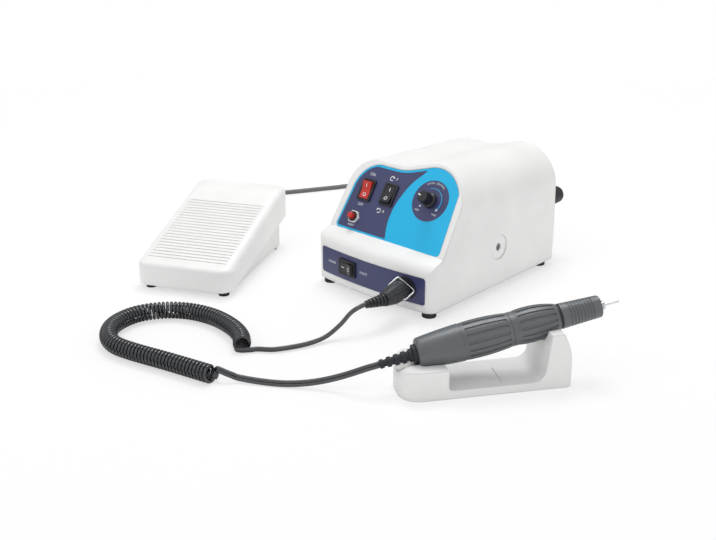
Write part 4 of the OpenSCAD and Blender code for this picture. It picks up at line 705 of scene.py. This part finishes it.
seamAt = cradlePlan["seam"]
printPiece("cradleSeam", [[(seamAt - 0.1, cradlePlan["from"]), (seamAt + 0.1, cradlePlan["from"]),
                           (seamAt + 0.25, cradlePlan["to"]), (seamAt - 0.25, cradlePlan["to"])]], [],
           onCradle, liftPlan["mark"], paints["seam"], "unit")

# White pointer down the face and side of the knob
pointerLine = [(1.8, 14.04), (4.65, 14.04), (5.46, 13.24), (5.46, 8.6)]


def onKnob(step, side, lift=0.0):
    r, high = pointerLine[step]
    a = math.radians(dialPlan["pointer"])
    return onSlope(dial[0] + r * math.cos(a) - side * math.sin(a),
                   dial[1] + r * math.sin(a) + side * math.cos(a), high)


pointerSteps = [[(i, -0.65), (i, 0.65), (i + 1, 0.65), (i + 1, -0.65)] for i in range(len(pointerLine) - 1)]
printPiece("knobPointer", pointerSteps, [], onKnob, 0.0, paints["print"], "speed_knob")
print("prints set")

# Floor and light
floorPlan = {"size": 14.0, "white": rgb(250, 250, 250), "near": 0.6}
floorMesh = bpy.data.meshes.new("studioFloor")
h = floorPlan["size"] / 2
floorMesh.from_pydata([(-h, -h, 0), (h, -h, 0), (h, h, 0), (-h, h, 0)], [], [(0, 1, 2, 3)])
floor = bpy.data.objects.new("studioFloor", floorMesh)
scene.collection.objects.link(floor)
floorShader = Shader("floorWhite")
floorShader.set(Base_Color=floorPlan["white"], Roughness=0.9, Specular_IOR_Level=0.1)
glow = floorShader.node("ShaderNodeEmission", {"Color": (1, 1, 1, 1), "Strength": 1.0})
reach = floorShader.node("ShaderNodeVectorMath", {0: floorShader.coords}, operation="LENGTH").outputs["Value"]
away = floorShader.span(reach, floorPlan["near"], 1.0, 0.35, 1.1)
seen = floorShader.node("ShaderNodeLightPath").outputs["Is Camera Ray"]
cover = floorShader.node("ShaderNodeMixShader", {0: floorShader.math("MULTIPLY", away, seen)})
outlet = floorShader.tree.nodes["Material Output"]
floorShader.put(cover.inputs[1], floorShader.surface.outputs[0])
floorShader.put(cover.inputs[2], glow.outputs[0])
floorShader.put(outlet.inputs["Surface"], cover.outputs[0])
floorMesh.materials.append(floorShader.material)

worldPlan = {"light": 0.6, "seen": 1.0}
world = bpy.data.worlds.new("studioWorld")
scene.world = world
world.use_nodes = True
tree = world.node_tree
ground = tree.nodes["Background"]
ground.inputs["Color"].default_value = (1, 1, 1, 1)
ground.inputs["Strength"].default_value = worldPlan["light"]
bright = tree.nodes.new("ShaderNodeBackground")
bright.inputs["Color"].default_value = (1, 1, 1, 1)
bright.inputs["Strength"].default_value = worldPlan["seen"]
path = tree.nodes.new("ShaderNodeLightPath")
pick = tree.nodes.new("ShaderNodeMixShader")
tree.links.new(path.outputs["Is Camera Ray"], pick.inputs[0])
tree.links.new(ground.outputs[0], pick.inputs[1])
tree.links.new(bright.outputs[0], pick.inputs[2])
tree.links.new(pick.outputs[0], tree.nodes["World Output"].inputs["Surface"])

lampPlan = [
    {"name": "keyLamp", "place": (-0.5, -1.3, 1.7), "aim": (0, 0, 0.05), "size": 1.6, "power": 6.5},
    {"name": "fillLamp", "place": (1.5, -0.5, 0.9), "aim": (0, 0, 0.05), "size": 1.6, "power": 3.0},
    {"name": "topLamp", "place": (-0.4, 0.5, 1.75), "aim": (0, 0, 0), "size": 0.8, "power": 14.0},
]
for plan in lampPlan:
    lampData = bpy.data.lights.new(plan["name"], "AREA")
    lampData.size = plan["size"]
    lampData.energy = plan["power"]
    lamp = bpy.data.objects.new(plan["name"], lampData)
    lamp.location = plan["place"]
    aim = Vector(plan["aim"]) - Vector(plan["place"])
    lamp.rotation_euler = aim.to_track_quat("-Z", "Y").to_euler()
    scene.collection.objects.link(lamp)
print("stage set")
